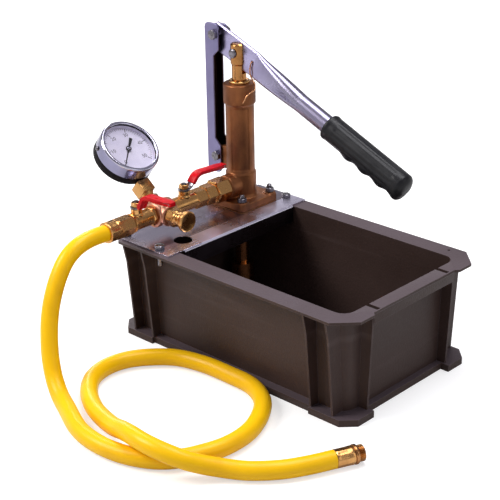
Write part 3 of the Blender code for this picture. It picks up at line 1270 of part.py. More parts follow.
def build_relief_valve():
    start = MANIFOLD_RELIEF_REACH + GAP
    place = placed((PUMP_X, MANIFOLD_Y, TRAIN_Z), (1, 0, 0), (0, 0, 1))
    end = start + RELIEF_LENGTH
    body = chamfered_hex("relief_valve_body", RELIEF_HEX, start, end, place, BRASS)
    fuse(body, rod("relief_thread", RELIEF_THREAD, start - SOCKET_DEPTH + GAP, start + OVERRUN, place,
                   steps=20))
    cut(body, rod("relief_bore", RELIEF_STEM + GAP, start - SOCKET_DEPTH - OVERRUN, end + OVERRUN,
                  place, steps=18))
    low = end + RELIEF_KNOB_GAP
    high = low + RELIEF_KNOB_LENGTH
    edge = CAST_EDGE
    radius = RELIEF_KNOB_RADIUS
    profile = [
        (0, start + GAP), (RELIEF_STEM, start + GAP), (RELIEF_STEM, end + GAP),
        (RELIEF_NECK, end + GAP), (RELIEF_NECK, low), (radius - edge, low), (radius, low + edge),
        (radius, high - edge), (radius - edge, high), (0, high)]
    knob = turned("relief_knob", profile, place, BRASS, steps=36)
    pivot("relief_turn", place @ Vector((0, 0, end)), [knob])


# Pressure gauge

def build_gauge():
    """Case, steel shell, window, dial, pointer, Bourdon tube and brass socket."""
    outward, normal = gauge_frame()
    origin = Vector((PUMP_X, MANIFOLD_Y, TRAIN_Z))
    hub = origin + outward * GAUGE_REACH + normal * GAUGE_STEP
    place = placed(hub, normal, -outward)
    front = DIAL_SETBACK
    back = front - GAUGE_DEPTH
    radius = GAUGE_RADIUS
    inside = radius - GAUGE_SHELL
    shell_back = back + GAUGE_BACK
    lip = radius - GAUGE_LIP
    shell = [
        (inside, shell_back), (radius, shell_back), (radius, front - GAUGE_LIP_THICKNESS),
        (radius - GAUGE_LIP_THICKNESS, front), (lip, front), (lip, front - GAUGE_LIP_THICKNESS),
        (inside, front - GAUGE_LIP_THICKNESS)]
    bezel = turned("gauge_bezel", shell, place, CHROME, steps=40)
    window_top = front - GAUGE_LIP_THICKNESS - GAP
    turned("gauge_window", [(0, window_top - WINDOW_THICKNESS), (inside - GAP, window_top - WINDOW_THICKNESS),
                            (inside - GAP, window_top), (0, window_top)], place, GLASS, steps=40)
    case_top = window_top - WINDOW_THICKNESS - GAP
    case_wall = inside - GAP
    hollow = case_wall - CASE_WALL
    case = [
        (0, back), (radius - CASE_WALL, back), (radius, back + CASE_WALL), (radius, shell_back - GAP),
        (case_wall, shell_back - GAP), (case_wall, case_top), (hollow, case_top),
        (hollow, back + CASE_WALL), (0, back + CASE_WALL)]
    case = turned("gauge_case", case, place, BLACK_PLASTIC, steps=40)

    stem_axis = placed(hub - normal * GAUGE_STEP, -outward, (0, 1, 0))
    neck_hole = rod("neck_hole", NECK_RADIUS + GAP, radius / 2, radius + OVERRUN, stem_axis, steps=20)
    cut(case, neck_hole)
    dial_top = -ARBOR / 2
    dial_low = dial_top - DIAL_THICKNESS
    dial_radius = hollow - DIAL_CLEARANCE
    dial = turned("gauge_dial", [(ARBOR + GAP, dial_low), (dial_radius, dial_low), (dial_radius, dial_top),
                                 (ARBOR + GAP, dial_top)], place, DIAL_WHITE, steps=40)

    pointer_low = dial_top + ARBOR
    pointer = rod("gauge_pointer", POINTER_HUB, pointer_low, pointer_low + 2 * POINTER_THICKNESS, place,
                  BLACK_PLASTIC, steps=20)
    # Zero lies to one side of the stem, a half of the dial's blind quarter away.
    turn = Matrix.Rotation(-POINTER_REST, 4, 'Z')
    needle = [(0, POINTER_WIDTH / 2), (-POINTER_TAIL, POINTER_TAIL_WIDTH / 2),
              (-POINTER_TAIL, -POINTER_TAIL_WIDTH / 2), (0, -POINTER_WIDTH / 2),
              (POINTER_LENGTH, -POINTER_WIDTH / 4), (POINTER_LENGTH, POINTER_WIDTH / 4)]
    fuse(pointer, extruded("needle", needle, pointer_low + MERGE * 20, pointer_low + POINTER_THICKNESS,
                           place @ turn))
    fuse(pointer, rod("arbor", ARBOR, dial_low - 2 * ARBOR, pointer_low + POINTER_THICKNESS, place, steps=12))
    pivot("pointer_turn", hub, [pointer])

    screw_turn = Matrix.Rotation(CASE_SCREW_TURN, 4, 'Z')
    side = (place @ screw_turn).to_3x3() @ Vector((1, 0, 0))
    screw_middle = hub + normal * (shell_back + CASE_SCREW_RADIUS + 3 * GAP)
    screw_place = placed(screw_middle, side, normal)
    head = [(0, radius - CASE_WALL / 2), (CASE_SCREW_RADIUS / 2, radius - CASE_WALL / 2),
            (CASE_SCREW_RADIUS / 2, radius + GAP), (CASE_SCREW_RADIUS, radius + GAP),
            (CASE_SCREW_RADIUS, radius + GAP + CASE_SCREW_HEAD / 2),
            (CASE_SCREW_RADIUS / 2, radius + GAP + CASE_SCREW_HEAD), (0, radius + GAP + CASE_SCREW_HEAD)]
    turned("gauge_case_screw", head, screw_place, FASTENER, steps=16)
    screw_hole = rod("case_screw_hole", CASE_SCREW_RADIUS / 2 + GAP, radius - CASE_WALL, radius + OVERRUN,
                     screw_place, steps=16)
    cut(bezel, screw_hole)
    cut(case, screw_hole)

    build_gauge_socket(stem_axis)
    return dial


def build_gauge_socket(stem_axis):
    """Brass block under the case, with its stem screwed into the manifold."""
    reach = GAUGE_REACH
    block_end = BLOCK_START + BLOCK_LENGTH
    half = BLOCK / 2
    block_low = GAUGE_RADIUS + GAP
    block = extruded("gauge_socket", rectangle(half, half), block_low, block_end, stem_axis, BRASS)
    socket_end = reach - MANIFOLD_GAUGE_REACH + SOCKET_DEPTH - GAP
    fuse(block, rod("socket_stem", NECK_RADIUS, GAUGE_RADIUS / 2 + OVERRUN, socket_end, stem_axis, steps=24))
    return block


# Hose and its fittings

def build_hose_fittings():
    start, end = ADAPTER_Y
    length = start - end
    place = along_train(start)
    adapter = chamfered_hex("hose_adapter", ADAPTER_HEX, 0, length, place, BRASS, turn=math.pi / 6)
    fuse(adapter, rod("adapter_spigot", NIPPLE_RADIUS, -ADAPTER_SPIGOT, OVERRUN, place, steps=20))
    fuse(adapter, rod("adapter_spur", SPUR_RADIUS, length - OVERRUN, length + SPUR_LENGTH, place, steps=20))
    cut(adapter, rod("adapter_bore", BRANCH_PASSAGE, -ADAPTER_SPIGOT - OVERRUN,
                     length + SPUR_LENGTH + OVERRUN, place, steps=16))

    start, end = FERRULE_Y
    length = start - end
    place = along_train(start)
    ferrule = chamfered_hex("hose_ferrule", 2 * FERRULE_RADIUS, 0, length, place, BRASS,
                            sides=FERRULE_SIDES, turn=math.pi / FERRULE_SIDES)
    cut(ferrule, rod("ferrule_bore", SPUR_RADIUS + GAP, -OVERRUN, length + OVERRUN, place, steps=20))


def build_hose():
    route = [Vector(point) for point in HOSE_ROUTE]
    hose = tube("outlet_hose", route, HOSE_RADIUS, HOSE_YELLOW, HOSE_POINTS, 3)
    even = smooth(route, HOSE_POINTS)
    length = sum((b - a).length for a, b in zip(even, even[1:]))
    least = min((a - b).length for i, a in enumerate(even) for b in even[i + 5:])
    print(f"hose length {length:.4f} m, least centre distance to itself {least:.4f} m")

    ahead = (even[-1] - even[-2]).normalized()
    place = placed(even[-1] + ahead * GAP, ahead, (0, 0, 1))
    ferrule = chamfered_hex("hose_end_ferrule", END_FERRULE_FLATS, 0, HOSE_END_FERRULE, place, BRASS,
                            sides=FERRULE_SIDES, turn=math.pi / FERRULE_SIDES)
    cut(ferrule, rod("end_ferrule_bore", PASSAGE, -OVERRUN, HOSE_END_FERRULE + OVERRUN, place, steps=18))
    nut_low = HOSE_END_FERRULE + GAP
    nut = chamfered_hex("hose_end_nut", END_NUT_FLATS, nut_low, nut_low + HOSE_END_NUT, place, BRASS)
    cut(nut, rod("end_nut_bore", THREAD_RADIUS - OVERRUN, nut_low - OVERRUN, nut_low + HOSE_END_NUT + OVERRUN,
                 place, steps=18))
    return hose


build_tank()
build_plate()
build_plate_screws()
build_pump_body()
build_flange_fasteners()
plunger_pieces = build_plunger()
link_pieces = build_link()
lever_pieces = [build_lever(), build_grip(), build_tie_wire()]
build_suction()
build_port_fittings()
build_valve("pump_valve", PUMP_VALVE, PUMP_HANDLE, Vector((0, 1, 0)), True)
build_valve("hose_valve", HOSE_VALVE, HOSE_HANDLE, Vector((1, 0, 0)), False)
build_manifold()
build_relief_valve()
build_gauge()
build_hose_fittings()
build_hose()

lug_point = (LUG_PIVOT[0], PUMP_Y, LUG_PIVOT[1])
link_point = (LINK_PIVOT[0], PUMP_Y, LINK_PIVOT[1])
link_empty = pivot("link_swing", lug_point, link_pieces)
pivot("lever_pivot", link_point, lever_pieces, link_empty)
pivot("plunger_slide", (PUMP_X, PUMP_Y, ROD_BOTTOM), plunger_pieces)
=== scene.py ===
import math

import bmesh
import bpy
from mathutils import Matrix, Vector


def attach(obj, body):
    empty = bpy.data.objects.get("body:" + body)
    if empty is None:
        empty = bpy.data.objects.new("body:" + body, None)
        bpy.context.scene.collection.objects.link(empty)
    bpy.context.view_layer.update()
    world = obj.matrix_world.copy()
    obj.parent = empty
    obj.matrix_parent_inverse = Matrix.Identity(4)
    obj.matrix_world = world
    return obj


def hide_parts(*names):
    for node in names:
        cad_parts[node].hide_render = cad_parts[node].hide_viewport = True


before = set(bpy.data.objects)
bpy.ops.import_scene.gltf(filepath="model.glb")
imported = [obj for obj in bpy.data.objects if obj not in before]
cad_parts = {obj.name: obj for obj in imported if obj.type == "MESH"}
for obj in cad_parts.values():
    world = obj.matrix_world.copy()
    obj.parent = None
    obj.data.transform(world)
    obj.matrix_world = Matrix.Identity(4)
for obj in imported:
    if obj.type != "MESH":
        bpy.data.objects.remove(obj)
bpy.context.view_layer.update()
print("frame loaded")

# shared by several pieces
fineSteps = 96
midSteps = 48
sharpAngle = math.radians(32)
pumpSpot = Vector((-0.135, 0.0628, 0))
trainHeight = 0.1506
manifoldY = -0.071
play = 0.0003


# camera and studio

view = {
    "place": (0.9380, -1.0480, 0.7301),
    "right": (0.7278, 0.6856, -0.0149),
    "up": (-0.2632, 0.2993, 0.9171),
    "lens": 97.92,
    "sensor": 36,
}


def makeCamera():
    right = Vector(view["right"]).normalized()
    back = right.cross(Vector(view["up"])).normalized()
    up = back.cross(right)
    camera = bpy.data.cameras.new("camera")
    camera.lens = view["lens"]
    camera.sensor_width = view["sensor"]
    camera.clip_start = 0.05
    obj = bpy.data.objects.new("camera", camera)
    turn = Matrix((right, up, back)).transposed().to_4x4()
    obj.matrix_world = Matrix.Translation(view["place"]) @ turn
    bpy.context.scene.collection.objects.link(obj)
    bpy.context.scene.camera = obj


makeCamera()


# finishes

def makeNode(tree, kind, settings=None, inputs=None):
    node = tree.nodes.new(kind)
    for name, value in (settings or {}).items():
        setattr(node, name, value)
    for name, value in (inputs or {}).items():
        plug(tree, node.inputs[name], value)
    return node


def plug(tree, socket, value):
    value = value.socket if isinstance(value, Value) else value
    if isinstance(value, bpy.types.NodeSocket):
        tree.links.new(value, socket)
    else:
        socket.default_value = value


def blend(tree, share, first, second):
    return makeNode(tree, "ShaderNodeMix", {"data_type": 'RGBA'}, {0: share, 6: first, 7: second}).outputs[2]


class Value:
    # a number socket that can stand in plain sums
    def __init__(self, finish, socket):
        self.finish = finish
        self.socket = socket

    def maths(self, operation, first, second):
        node = self.finish.node("ShaderNodeMath", {"operation": operation}, {0: first, 1: second})
        return Value(self.finish, node.outputs[0])

    def __add__(self, other):
        return self.maths('ADD', self, other)

    def __sub__(self, other):
        return self.maths('SUBTRACT', self, other)

    def __rsub__(self, other):
        return self.maths('SUBTRACT', other, self)

    def __mul__(self, other):
        return self.maths('MULTIPLY', self, other)

    __radd__ = __add__
    __rmul__ = __mul__

    def above(self, limit):
        return self.maths('GREATER_THAN', self, limit)

    def below(self, limit):
        return self.maths('LESS_THAN', self, limit)


class Finish:
    def __init__(self, name, colour, metallic, roughness, **fixed):
        self.material = bpy.data.materials.new(name)
        self.material.use_nodes = True
        self.tree = self.material.node_tree
        self.shader = self.tree.nodes["Principled BSDF"]
        self.feed("Base Color", (*colour, 1))
        self.feed("Metallic", metallic)
        self.feed("Roughness", roughness)
        for socket, value in fixed.items():
            self.feed(socket.replace("_", " "), value)
        self.spot = self.node("ShaderNodeTexCoord").outputs["Object"]

    def node(self, kind, settings=None, inputs=None):
        return makeNode(self.tree, kind, settings, inputs)

    def feed(self, name, value):
        plug(self.tree, self.shader.inputs[name], value)

    def parts(self, vector):
        return [Value(self, part) for part in self.node("ShaderNodeSeparateXYZ", None, {0: vector}).outputs]

    def grain(self, scale, detail=3.0, stretch=(1, 1, 1), low=0.35, high=0.65):
        # noise spread over 0 to 1, drawn out along an axis where stretch is small
        where = self.node("ShaderNodeMapping", None, {"Vector": self.spot, "Scale": stretch})
        noise = self.node("ShaderNodeTexNoise", None, {
            "Vector": where.outputs[0], "Scale": scale, "Detail": detail, "Roughness": 0.55})
        spread = self.node("ShaderNodeMapRange", None, {
            "Value": noise.outputs[0], "From Min": low, "From Max": high})
        return Value(self, spread.outputs[0])

    def edges(self, radius, gain):
        # 0 on flat ground, up to 1 along the piece's edges
        soft = self.node("ShaderNodeBevel", {"samples": 4}, {"Radius": radius})
        plain = self.node("ShaderNodeNewGeometry").outputs["Normal"]
        dot = self.node("ShaderNodeVectorMath", {"operation": 'DOT_PRODUCT'},
                        {0: soft.outputs[0], 1: plain})
        edgeWearAndSheen = self.node("ShaderNodeMapRange", None, {
            "Value": dot.outputs["Value"], "From Min": 1.0, "From Max": 1.0 - gain})
        return Value(self, edgeWearAndSheen.outputs[0])

    def mix(self, share, first, second):
        first, second = [(*colour, 1) if isinstance(colour, tuple) else colour for colour in (first, second)]
        return blend(self.tree, share, first, second)

    def relief(self, height, strength, depth):
        bump = self.node("ShaderNodeBump", None, {
            "Height": height, "Strength": strength, "Distance": depth})
        self.feed("Normal", bump.outputs[0])


# where a finish changes along its piece, and where painted light and shade lie
zones = {
    "facesUp": 0.8,                           # least rise of the normal that is painted lighter, a painted sheen of the light from above
    "plateBendHighlight": -0.1030, "plateFoldShade": 0.1228,
    "linkShadedInside": 0.0079, "linkWeb": -0.1802, "linkTop": 0.335,
    "leverTubeShade": (-0.11, -0.06),
}


def tankPlastic():
    f = Finish("tankPlastic", (0.045, 0.029, 0.024), 0.0, 0.5, Specular_IOR_Level=0.28)
    patches = f.grain(9, 4)
    fine = f.grain(420, 2)
    scuffs = f.grain(60, 5, (0.08, 0.08, 1.0), 0.56, 0.74)
    body = f.mix(patches, (0.040, 0.023, 0.019), (0.053, 0.031, 0.026))
    body = f.mix(scuffs * 0.30, body, (0.11, 0.078, 0.076))
    # painted sheen: what faces up is painted lighter, standing in for the light from above
    normal = f.node("ShaderNodeNewGeometry").outputs["Normal"]
    paintedTopSheen = f.parts(normal)[2].above(zones["facesUp"]) * (0.75 + patches * 0.25)
    body = f.mix(paintedTopSheen, body, (0.090, 0.067, 0.078))
    # the edges are painted lighter: partly wear, partly a painted highlight
    f.feed("Base Color", f.mix(f.edges(0.0012, 0.30) * 0.5, body, (0.18, 0.14, 0.155)))
    f.feed("Roughness", 0.44 + patches * 0.10 + fine * 0.05)
    f.relief(fine, 0.25, 0.0003)
    return f.material


def plateSteel():
    f = Finish("plateSteel", (0.50, 0.48, 0.53), 1.0, 0.25)
    brushed = f.grain(90, 4, (1.0, 0.02, 1.0), 0.3, 0.7)
    smears = f.grain(22, 4, low=0.42, high=0.68)
    stains = f.grain(45, 5, low=0.58, high=0.72)
    body = f.mix(smears, (0.50, 0.46, 0.56), (0.22, 0.175, 0.20))
    body = f.mix(stains * 0.6, body, (0.14, 0.085, 0.065))
    # painted highlight and shade: the bend at its edge is painted bright, and the fold below it painted dark
    x, _, z = f.parts(f.spot)
    body = f.mix(x.above(zones["plateBendHighlight"]), body, (0.88, 0.84, 1.0))
    f.feed("Base Color", f.mix(z.below(zones["plateFoldShade"]), body, (0.075, 0.068, 0.085)))
    f.feed("Roughness", 0.17 + brushed * 0.10 + smears * 0.14)
    f.relief(brushed, 0.08, 0.0002)
    return f.material


def linkSteel():
    f = Finish("linkSteel", (0.30, 0.28, 0.40), 1.0, 0.34)
    drawn = f.grain(160, 3, (1.0, 1.0, 0.03), 0.3, 0.7)
    dull = f.grain(18, 4)
    # painted shade: the inside of its U is painted dark, standing in for the shade in the channel
    x, y, z = f.parts(f.spot)
    off = y - pumpSpot.y
    off = off.maths('ABSOLUTE', off, 0.0)
    inside = off.below(zones["linkShadedInside"]) * x.above(zones["linkWeb"]) * z.below(zones["linkTop"])
    body = f.mix(dull, (0.25, 0.23, 0.38), (0.20, 0.183, 0.32))
    f.feed("Base Color", f.mix(inside, body, (0.055, 0.032, 0.028)))
    f.feed("Roughness", 0.30 + drawn * 0.08 + dull * 0.08)
    f.relief(drawn, 0.08, 0.0002)
    return f.material


def leverChrome():
    f = Finish("leverChrome", (0.20, 0.18, 0.28), 1.0, 0.18)
    haze = f.grain(26, 4)
    marks = f.grain(140, 3, (0.05, 1.0, 1.0), 0.60, 0.72)
    body = f.mix(haze, (0.41, 0.38, 0.57), (0.32, 0.29, 0.46))
    # painted shade: the tube is painted darker than the flat, toning down the light it catches
    low, high = zones["leverTubeShade"]
    share = f.node("ShaderNodeMapRange", None, {
        "Value": f.parts(f.spot)[0], "From Min": low, "From Max": high}).outputs[0]
    tube = f.mix(haze, (0.30, 0.28, 0.38), (0.22, 0.20, 0.29))
    f.feed("Base Color", f.mix(share, body, tube))
    f.feed("Roughness", 0.26 + haze * 0.08 + marks * 0.08)
    return f.material


def zincPlate():
    f = Finish("zincPlate", (0.42, 0.41, 0.45), 1.0, 0.26)
    spangle = f.grain(300, 3)
    f.feed("Base Color", f.mix(spangle, (0.25, 0.235, 0.26), (0.13, 0.12, 0.135)))
    f.feed("Roughness", 0.20 + spangle * 0.14)
    return f.material


def castBronze():
    f = Finish("castBronze", (0.25, 0.11, 0.045), 0.85, 0.45)
    tarnish = f.grain(38, 5, (1, 1, 0.5))
    sand = f.grain(520, 3)
    body = f.mix(tarnish, (0.32, 0.120, 0.044), (0.15, 0.056, 0.025))
    f.feed("Base Color", f.mix(f.edges(0.0010, 0.25) * 0.7, body, (0.60, 0.28, 0.11)))
    f.feed("Roughness", 0.36 + tarnish * 0.10 + sand * 0.10)
    f.relief(sand + tarnish * 2, 0.30, 0.00025)
    return f.material


def brassFinish(name, bright, dark, share):
    f = Finish(name, bright, 1.0, 0.24)
    tarnish = f.grain(70, 5, low=0.40, high=0.66)
    turned = f.grain(900, 2)
    body = f.mix(tarnish * share, bright, dark)
    f.feed("Base Color", f.mix(f.edges(0.0006, 0.25) * 0.6, body, (0.84, 0.56, 0.22)))
    f.feed("Roughness", 0.16 + tarnish * 0.16 + turned * 0.06)
    f.relief(turned, 0.10, 0.0001)
    return f.material


def manifoldBronze():
    f = Finish("manifoldBronze", (0.45, 0.24, 0.16), 1.0, 0.36)
    patches = f.grain(60, 5)
    sand = f.grain(600, 3)
    f.feed("Base Color", f.mix(patches, (0.60, 0.29, 0.19), (0.32, 0.145, 0.095)))
    f.feed("Roughness", 0.30 + patches * 0.08 + sand * 0.10)
    f.relief(sand + patches * 2, 0.25, 0.0003)
    return f.material


def redVinyl():
    f = Finish("redVinyl", (0.55, 0.005, 0.010), 0.0, 0.30, Specular_IOR_Level=0.12)
    waves = f.grain(150, 2)
    f.feed("Base Color", f.mix(waves, (0.62, 0.006, 0.012), (0.44, 0.003, 0.008)))
    f.feed("Roughness", 0.26 + waves * 0.10)
    f.relief(waves, 0.2, 0.0003)
    return f.material


def gripRubber():
    f = Finish("gripRubber", (0.012, 0.011, 0.014), 0.0, 0.42, Specular_IOR_Level=0.25)
    dust = f.grain(45, 5, low=0.45, high=0.75)
    fine = f.grain(700, 2)
    f.feed("Base Color", f.mix(dust, (0.008, 0.008, 0.010), (0.020, 0.020, 0.022)))
    f.feed("Roughness", 0.34 + dust * 0.14 + fine * 0.05)
    f.relief(fine, 0.15, 0.0002)
    return f.material


def blackPaint():
    f = Finish("blackPaint", (0.008, 0.007, 0.008), 0.0, 0.38, Specular_IOR_Level=0.05)
    fine = f.grain(260, 3)
    f.feed("Base Color", f.mix(fine, (0.006, 0.005, 0.006), (0.013, 0.011, 0.013)))
    f.feed("Roughness", 0.32 + fine * 0.14)
    return f.material


def bezelChrome(name, bright, dark):
    f = Finish(name, bright, 1.0, 0.12)
    turned = f.grain(500, 2)
    haze = f.grain(30, 3)
    f.feed("Base Color", f.mix(haze, bright, dark))
    f.feed("Roughness", 0.10 + haze * 0.08 + turned * 0.04)
    return f.material


def windowGlass():
    # a thin mirror laid over what lies behind it, stronger at a glancing view
    f = Finish("windowGlass", (0.97, 0.98, 1.0), 1.0, 0.03)
    glance = Value(f, f.node("ShaderNodeLayerWeight", None, {"Blend": 0.5}).outputs["Facing"])
    f.feed("Alpha", 0.03 + glance * glance * glance * 0.5)
    return f.material


def dialEnamel():
    f = Finish("dialEnamel", (0.78, 0.76, 0.84), 0.0, 0.42)
    mottle = f.grain(120, 3)
    f.feed("Base Color", f.mix(mottle, (0.74, 0.70, 0.85), (0.68, 0.64, 0.80)))
    return f.material


def dialInk():
    f = Finish("dialInk", (0.03, 0.025, 0.04), 0.0, 0.5)
    wear = f.grain(400, 3)
    f.feed("Base Color", f.mix(wear, (0.025, 0.02, 0.035), (0.075, 0.065, 0.09)))
    return f.material


def copperWire():
    f = Finish("copperWire", (0.70, 0.32, 0.15), 1.0, 0.25)
    tarnish = f.grain(120, 3)
    f.feed("Base Color", f.mix(tarnish, (0.80, 0.40, 0.19), (0.42, 0.18, 0.08)))
    f.feed("Roughness", 0.20 + tarnish * 0.15)
    return f.material


def hoseYellow():
    f = Finish("hoseYellow", (0.98, 0.56, 0.004), 0.0, 0.36, Specular_IOR_Level=0.22)
    smudge = f.grain(24, 5, low=0.50, high=0.80)
    fine = f.grain(500, 2)
    f.feed("Base Color", f.mix(smudge * 0.5, (0.98, 0.565, 0.004), (0.76, 0.38, 0.005)))
    f.feed("Roughness", 0.30 + smudge * 0.14 + fine * 0.05)
    f.relief(fine, 0.10, 0.0002)
    return f.material


look = {
    "tank": tankPlastic(), "plate": plateSteel(), "link": linkSteel(), "lever": leverChrome(),
    "zinc": zincPlate(), "cast": castBronze(),
    "brass": brassFinish("brass", (0.72, 0.39, 0.14), (0.42, 0.19, 0.06), 0.5),
    "goldBrass": brassFinish("goldBrass", (0.58, 0.31, 0.11), (0.36, 0.17, 0.055), 0.5),
    "darkBrass": brassFinish("darkBrass", (0.50, 0.24, 0.09), (0.24, 0.10, 0.035), 0.7),
    "rodBrass": brassFinish("rodBrass", (0.46, 0.22, 0.075), (0.30, 0.135, 0.042), 0.5),
    "manifold": manifoldBronze(), "red": redVinyl(), "grip": gripRubber(), "black": blackPaint(),
    "bezel": bezelChrome("bezelChrome", (0.56, 0.55, 0.66), (0.46, 0.45, 0.56)),
    # a darker copy of the bezel chrome, painted shade for the bezel's side
    "bezelShadedSide": bezelChrome("bezelShadedSide", (0.31, 0.30, 0.44), (0.24, 0.235, 0.35)),
    "glass": windowGlass(), "dial": dialEnamel(), "ink": dialInk(),
    "copper": copperWire(), "hose": hoseYellow(),
}
print("finishes made")


# shaping

def aimed(place, axis, side=(1, 0, 0)):
    # a matrix whose Z runs along axis and whose X leans towards side
    z = Vector(axis).normalized()
    y = z.cross(Vector(side)).normalized()
    turn = Matrix((y.cross(z), y, z)).transposed().to_4x4()
    return Matrix.Translation(Vector(place)) @ turn


def upright(x, y, z=0.0):
    return Matrix.Translation((x, y, z))


def onTrain(y):
    # Z towards the front along the fittings, X to the right
    return aimed((pumpSpot.x, y, trainHeight), (0, -1, 0))


def hexOnTrain(y):
    # the same, turned so that a hexagon has a flat on top
    return onTrain(y) @ Matrix.Rotation(math.radians(30), 4, 'Z')


def acrossLink(x, z):
    # X to the right, Y up, Z towards the front
    return aimed((x, pumpSpot.y, z), (0, -1, 0))


def addPiece(name, bm, place, finish, sharp=sharpAngle):
    bmesh.ops.remove_doubles(bm, verts=bm.verts, dist=1e-6)
    bmesh.ops.recalc_face_normals(bm, faces=bm.faces)
    bm.transform(place)
    mesh = bpy.data.meshes.new(name)
    bm.to_mesh(mesh)
    bm.free()
    mesh.shade_smooth()
    mesh.set_sharp_from_angle(angle=sharp)
    obj = bpy.data.objects.new(name, mesh)
    bpy.context.scene.collection.objects.link(obj)
    if finish:
        mesh.materials.append(look[finish])
    return obj


# share of a side that a round may take, the angle past which a corner stays, and the round's points
rounding = {"share": 0.42, "flat": math.radians(150), "steps": (0.0, 0.33, 0.67, 1.0)}


def eased(profile, radius, closed=False):
    # rounds the corners of a profile
    points = [Vector(point) for point in profile]
    result = []
    for i, corner in enumerate(points):
        if not closed and i in (0, len(points) - 1):
            result.append(tuple(corner))
            continue
        before = points[i - 1] - corner
        after = points[(i + 1) % len(points)] - corner
        if before.angle(after) > rounding["flat"]:
            result.append(tuple(corner))
            continue
        reach = min(radius, rounding["share"] * before.length, rounding["share"] * after.length)
        start = corner + before.normalized() * reach
        end = corner + after.normalized() * reach
        for t in rounding["steps"]:
            result.append(tuple(start * (1 - t) ** 2 + corner * 2 * t * (1 - t) + end * t * t))
    return result


def spun(profile, count=fineSteps, closed=False, sides=0, flat=0.0):
    # spins (radius, height) points round Z; with sides, the flats are then milled
    bm = bmesh.new()
    points = [bm.verts.new((radius, 0, height)) for radius, height in profile]
    pairs = list(zip(points, points[1:])) + ([(points[-1], points[0])] if closed else [])
    line = [bm.edges.new(pair) for pair in pairs]
    bmesh.ops.spin(bm, geom=points + line, cent=(0, 0, 0), axis=(0, 0, 1), angle=math.tau,
                   steps=count, use_merge=True)
    bmesh.ops.remove_doubles(bm, verts=bm.verts, dist=1e-6)
    if sides:
        half = math.pi / sides
        for vert in bm.verts:
            off = (math.atan2(vert.co.y, vert.co.x) + half) % (2 * half) - half
            limit = flat / math.cos(off)
            reach = vert.co.xy.length
            if reach > limit:
                vert.co.x *= limit / reach
                vert.co.y *= limit / reach
    return bm


hexagon = {"sides": 6, "facing": math.radians(30), "facedFrom": 0.95, "rings": 6}


def nutProfile(flats, low, high, bore=0.0, ends=(1, 1)):
    # outside of a turned bar whose corners are faced off at the given ends
    apothem = flats / 2
    corner = apothem / math.cos(math.pi / hexagon["sides"])
    start = apothem * hexagon["facedFrom"]
    fall = math.tan(hexagon["facing"])
    rings = hexagon["rings"]
    cone = [start + (corner - start) * i / rings for i in range(rings + 1)]
    lower = [(r, low + (r - start) * fall) for r in cone] if ends[0] else [(corner, low)]
    upper = [(r, high - (r - start) * fall) for r in reversed(cone)] if ends[1] else [(corner, high)]
    return [(bore, low)] + lower + upper + [(bore, high)]


def nut(name, flats, low, high, place, finish, bore=0.0, ends=(1, 1)):
    bm = spun(nutProfile(flats, low, high, bore, ends), fineSteps, bore > 0, hexagon["sides"], flats / 2)
    return addPiece(name, bm, place, finish)


def slab(outline, low, high):
    bm = bmesh.new()
    face = bm.faces.new([bm.verts.new((x, y, low)) for x, y in outline])
    top = bmesh.ops.extrude_face_region(bm, geom=[face], use_keep_orig=True)["geom"]
    raised = [v for v in top if isinstance(v, bmesh.types.BMVert)]
    bmesh.ops.translate(bm, verts=raised, vec=(0, 0, high - low))
    return bm


def bow(centre, radius, start, end, count):
    turns = [math.radians(start + (end - start) * i / count) for i in range(count + 1)]
    return [(centre[0] + radius * math.cos(a), centre[1] + radius * math.sin(a)) for a in turns]


def rounded(halfX, halfY, radius, count=8):
    points = []
    for i, (sx, sy) in enumerate(((1, 1), (-1, 1), (-1, -1), (1, -1))):
        centre = (sx * (halfX - radius), sy * (halfY - radius))
        points += bow(centre, radius, 90 * i, 90 * i + 90, count)
    return points


def combine(target, tool, operation):
    step = target.modifiers.new(operation, 'BOOLEAN')
    step.operation = operation
    step.object = tool
    step.solver = 'EXACT'


def bar(radius, low, high, bore=0.0):
    # profile of a plain round bar, or of a tube where it has a bore
    return [(bore, low), (radius, low), (radius, high), (bore, high)]


def unite(obj, profile, place, count=midSteps, closed=False):
    combine(obj, addPiece("part", spun(profile, count, closed), place, None), 'UNION')


def cutOut(obj, bm, place):
    combine(obj, addPiece("tool", bm, place, None), 'DIFFERENCE')


def bored(obj, profile, place):
    cutOut(obj, spun(profile, midSteps), place)


def settle(obj, sharp=sharpAngle):
    # keeps the result of the modifiers and deletes the tools they used
    tools = [m.object for m in obj.modifiers if m.type == 'BOOLEAN']
    depsgraph = bpy.context.evaluated_depsgraph_get()
    mesh = bpy.data.meshes.new_from_object(obj.evaluated_get(depsgraph))
    obj.modifiers.clear()
    obj.data = mesh
    mesh.shade_smooth()
    mesh.set_sharp_from_angle(angle=sharp)
    for tool in tools:
        bpy.data.objects.remove(tool)
    return obj


def soften(obj, width, segments=2, angle=40):
    step = obj.modifiers.new("soften", 'BEVEL')
    step.width = width
    step.segments = segments
    step.limit_method = 'ANGLE'
    step.angle_limit = math.radians(angle)
    step.harden_normals = False
    return obj


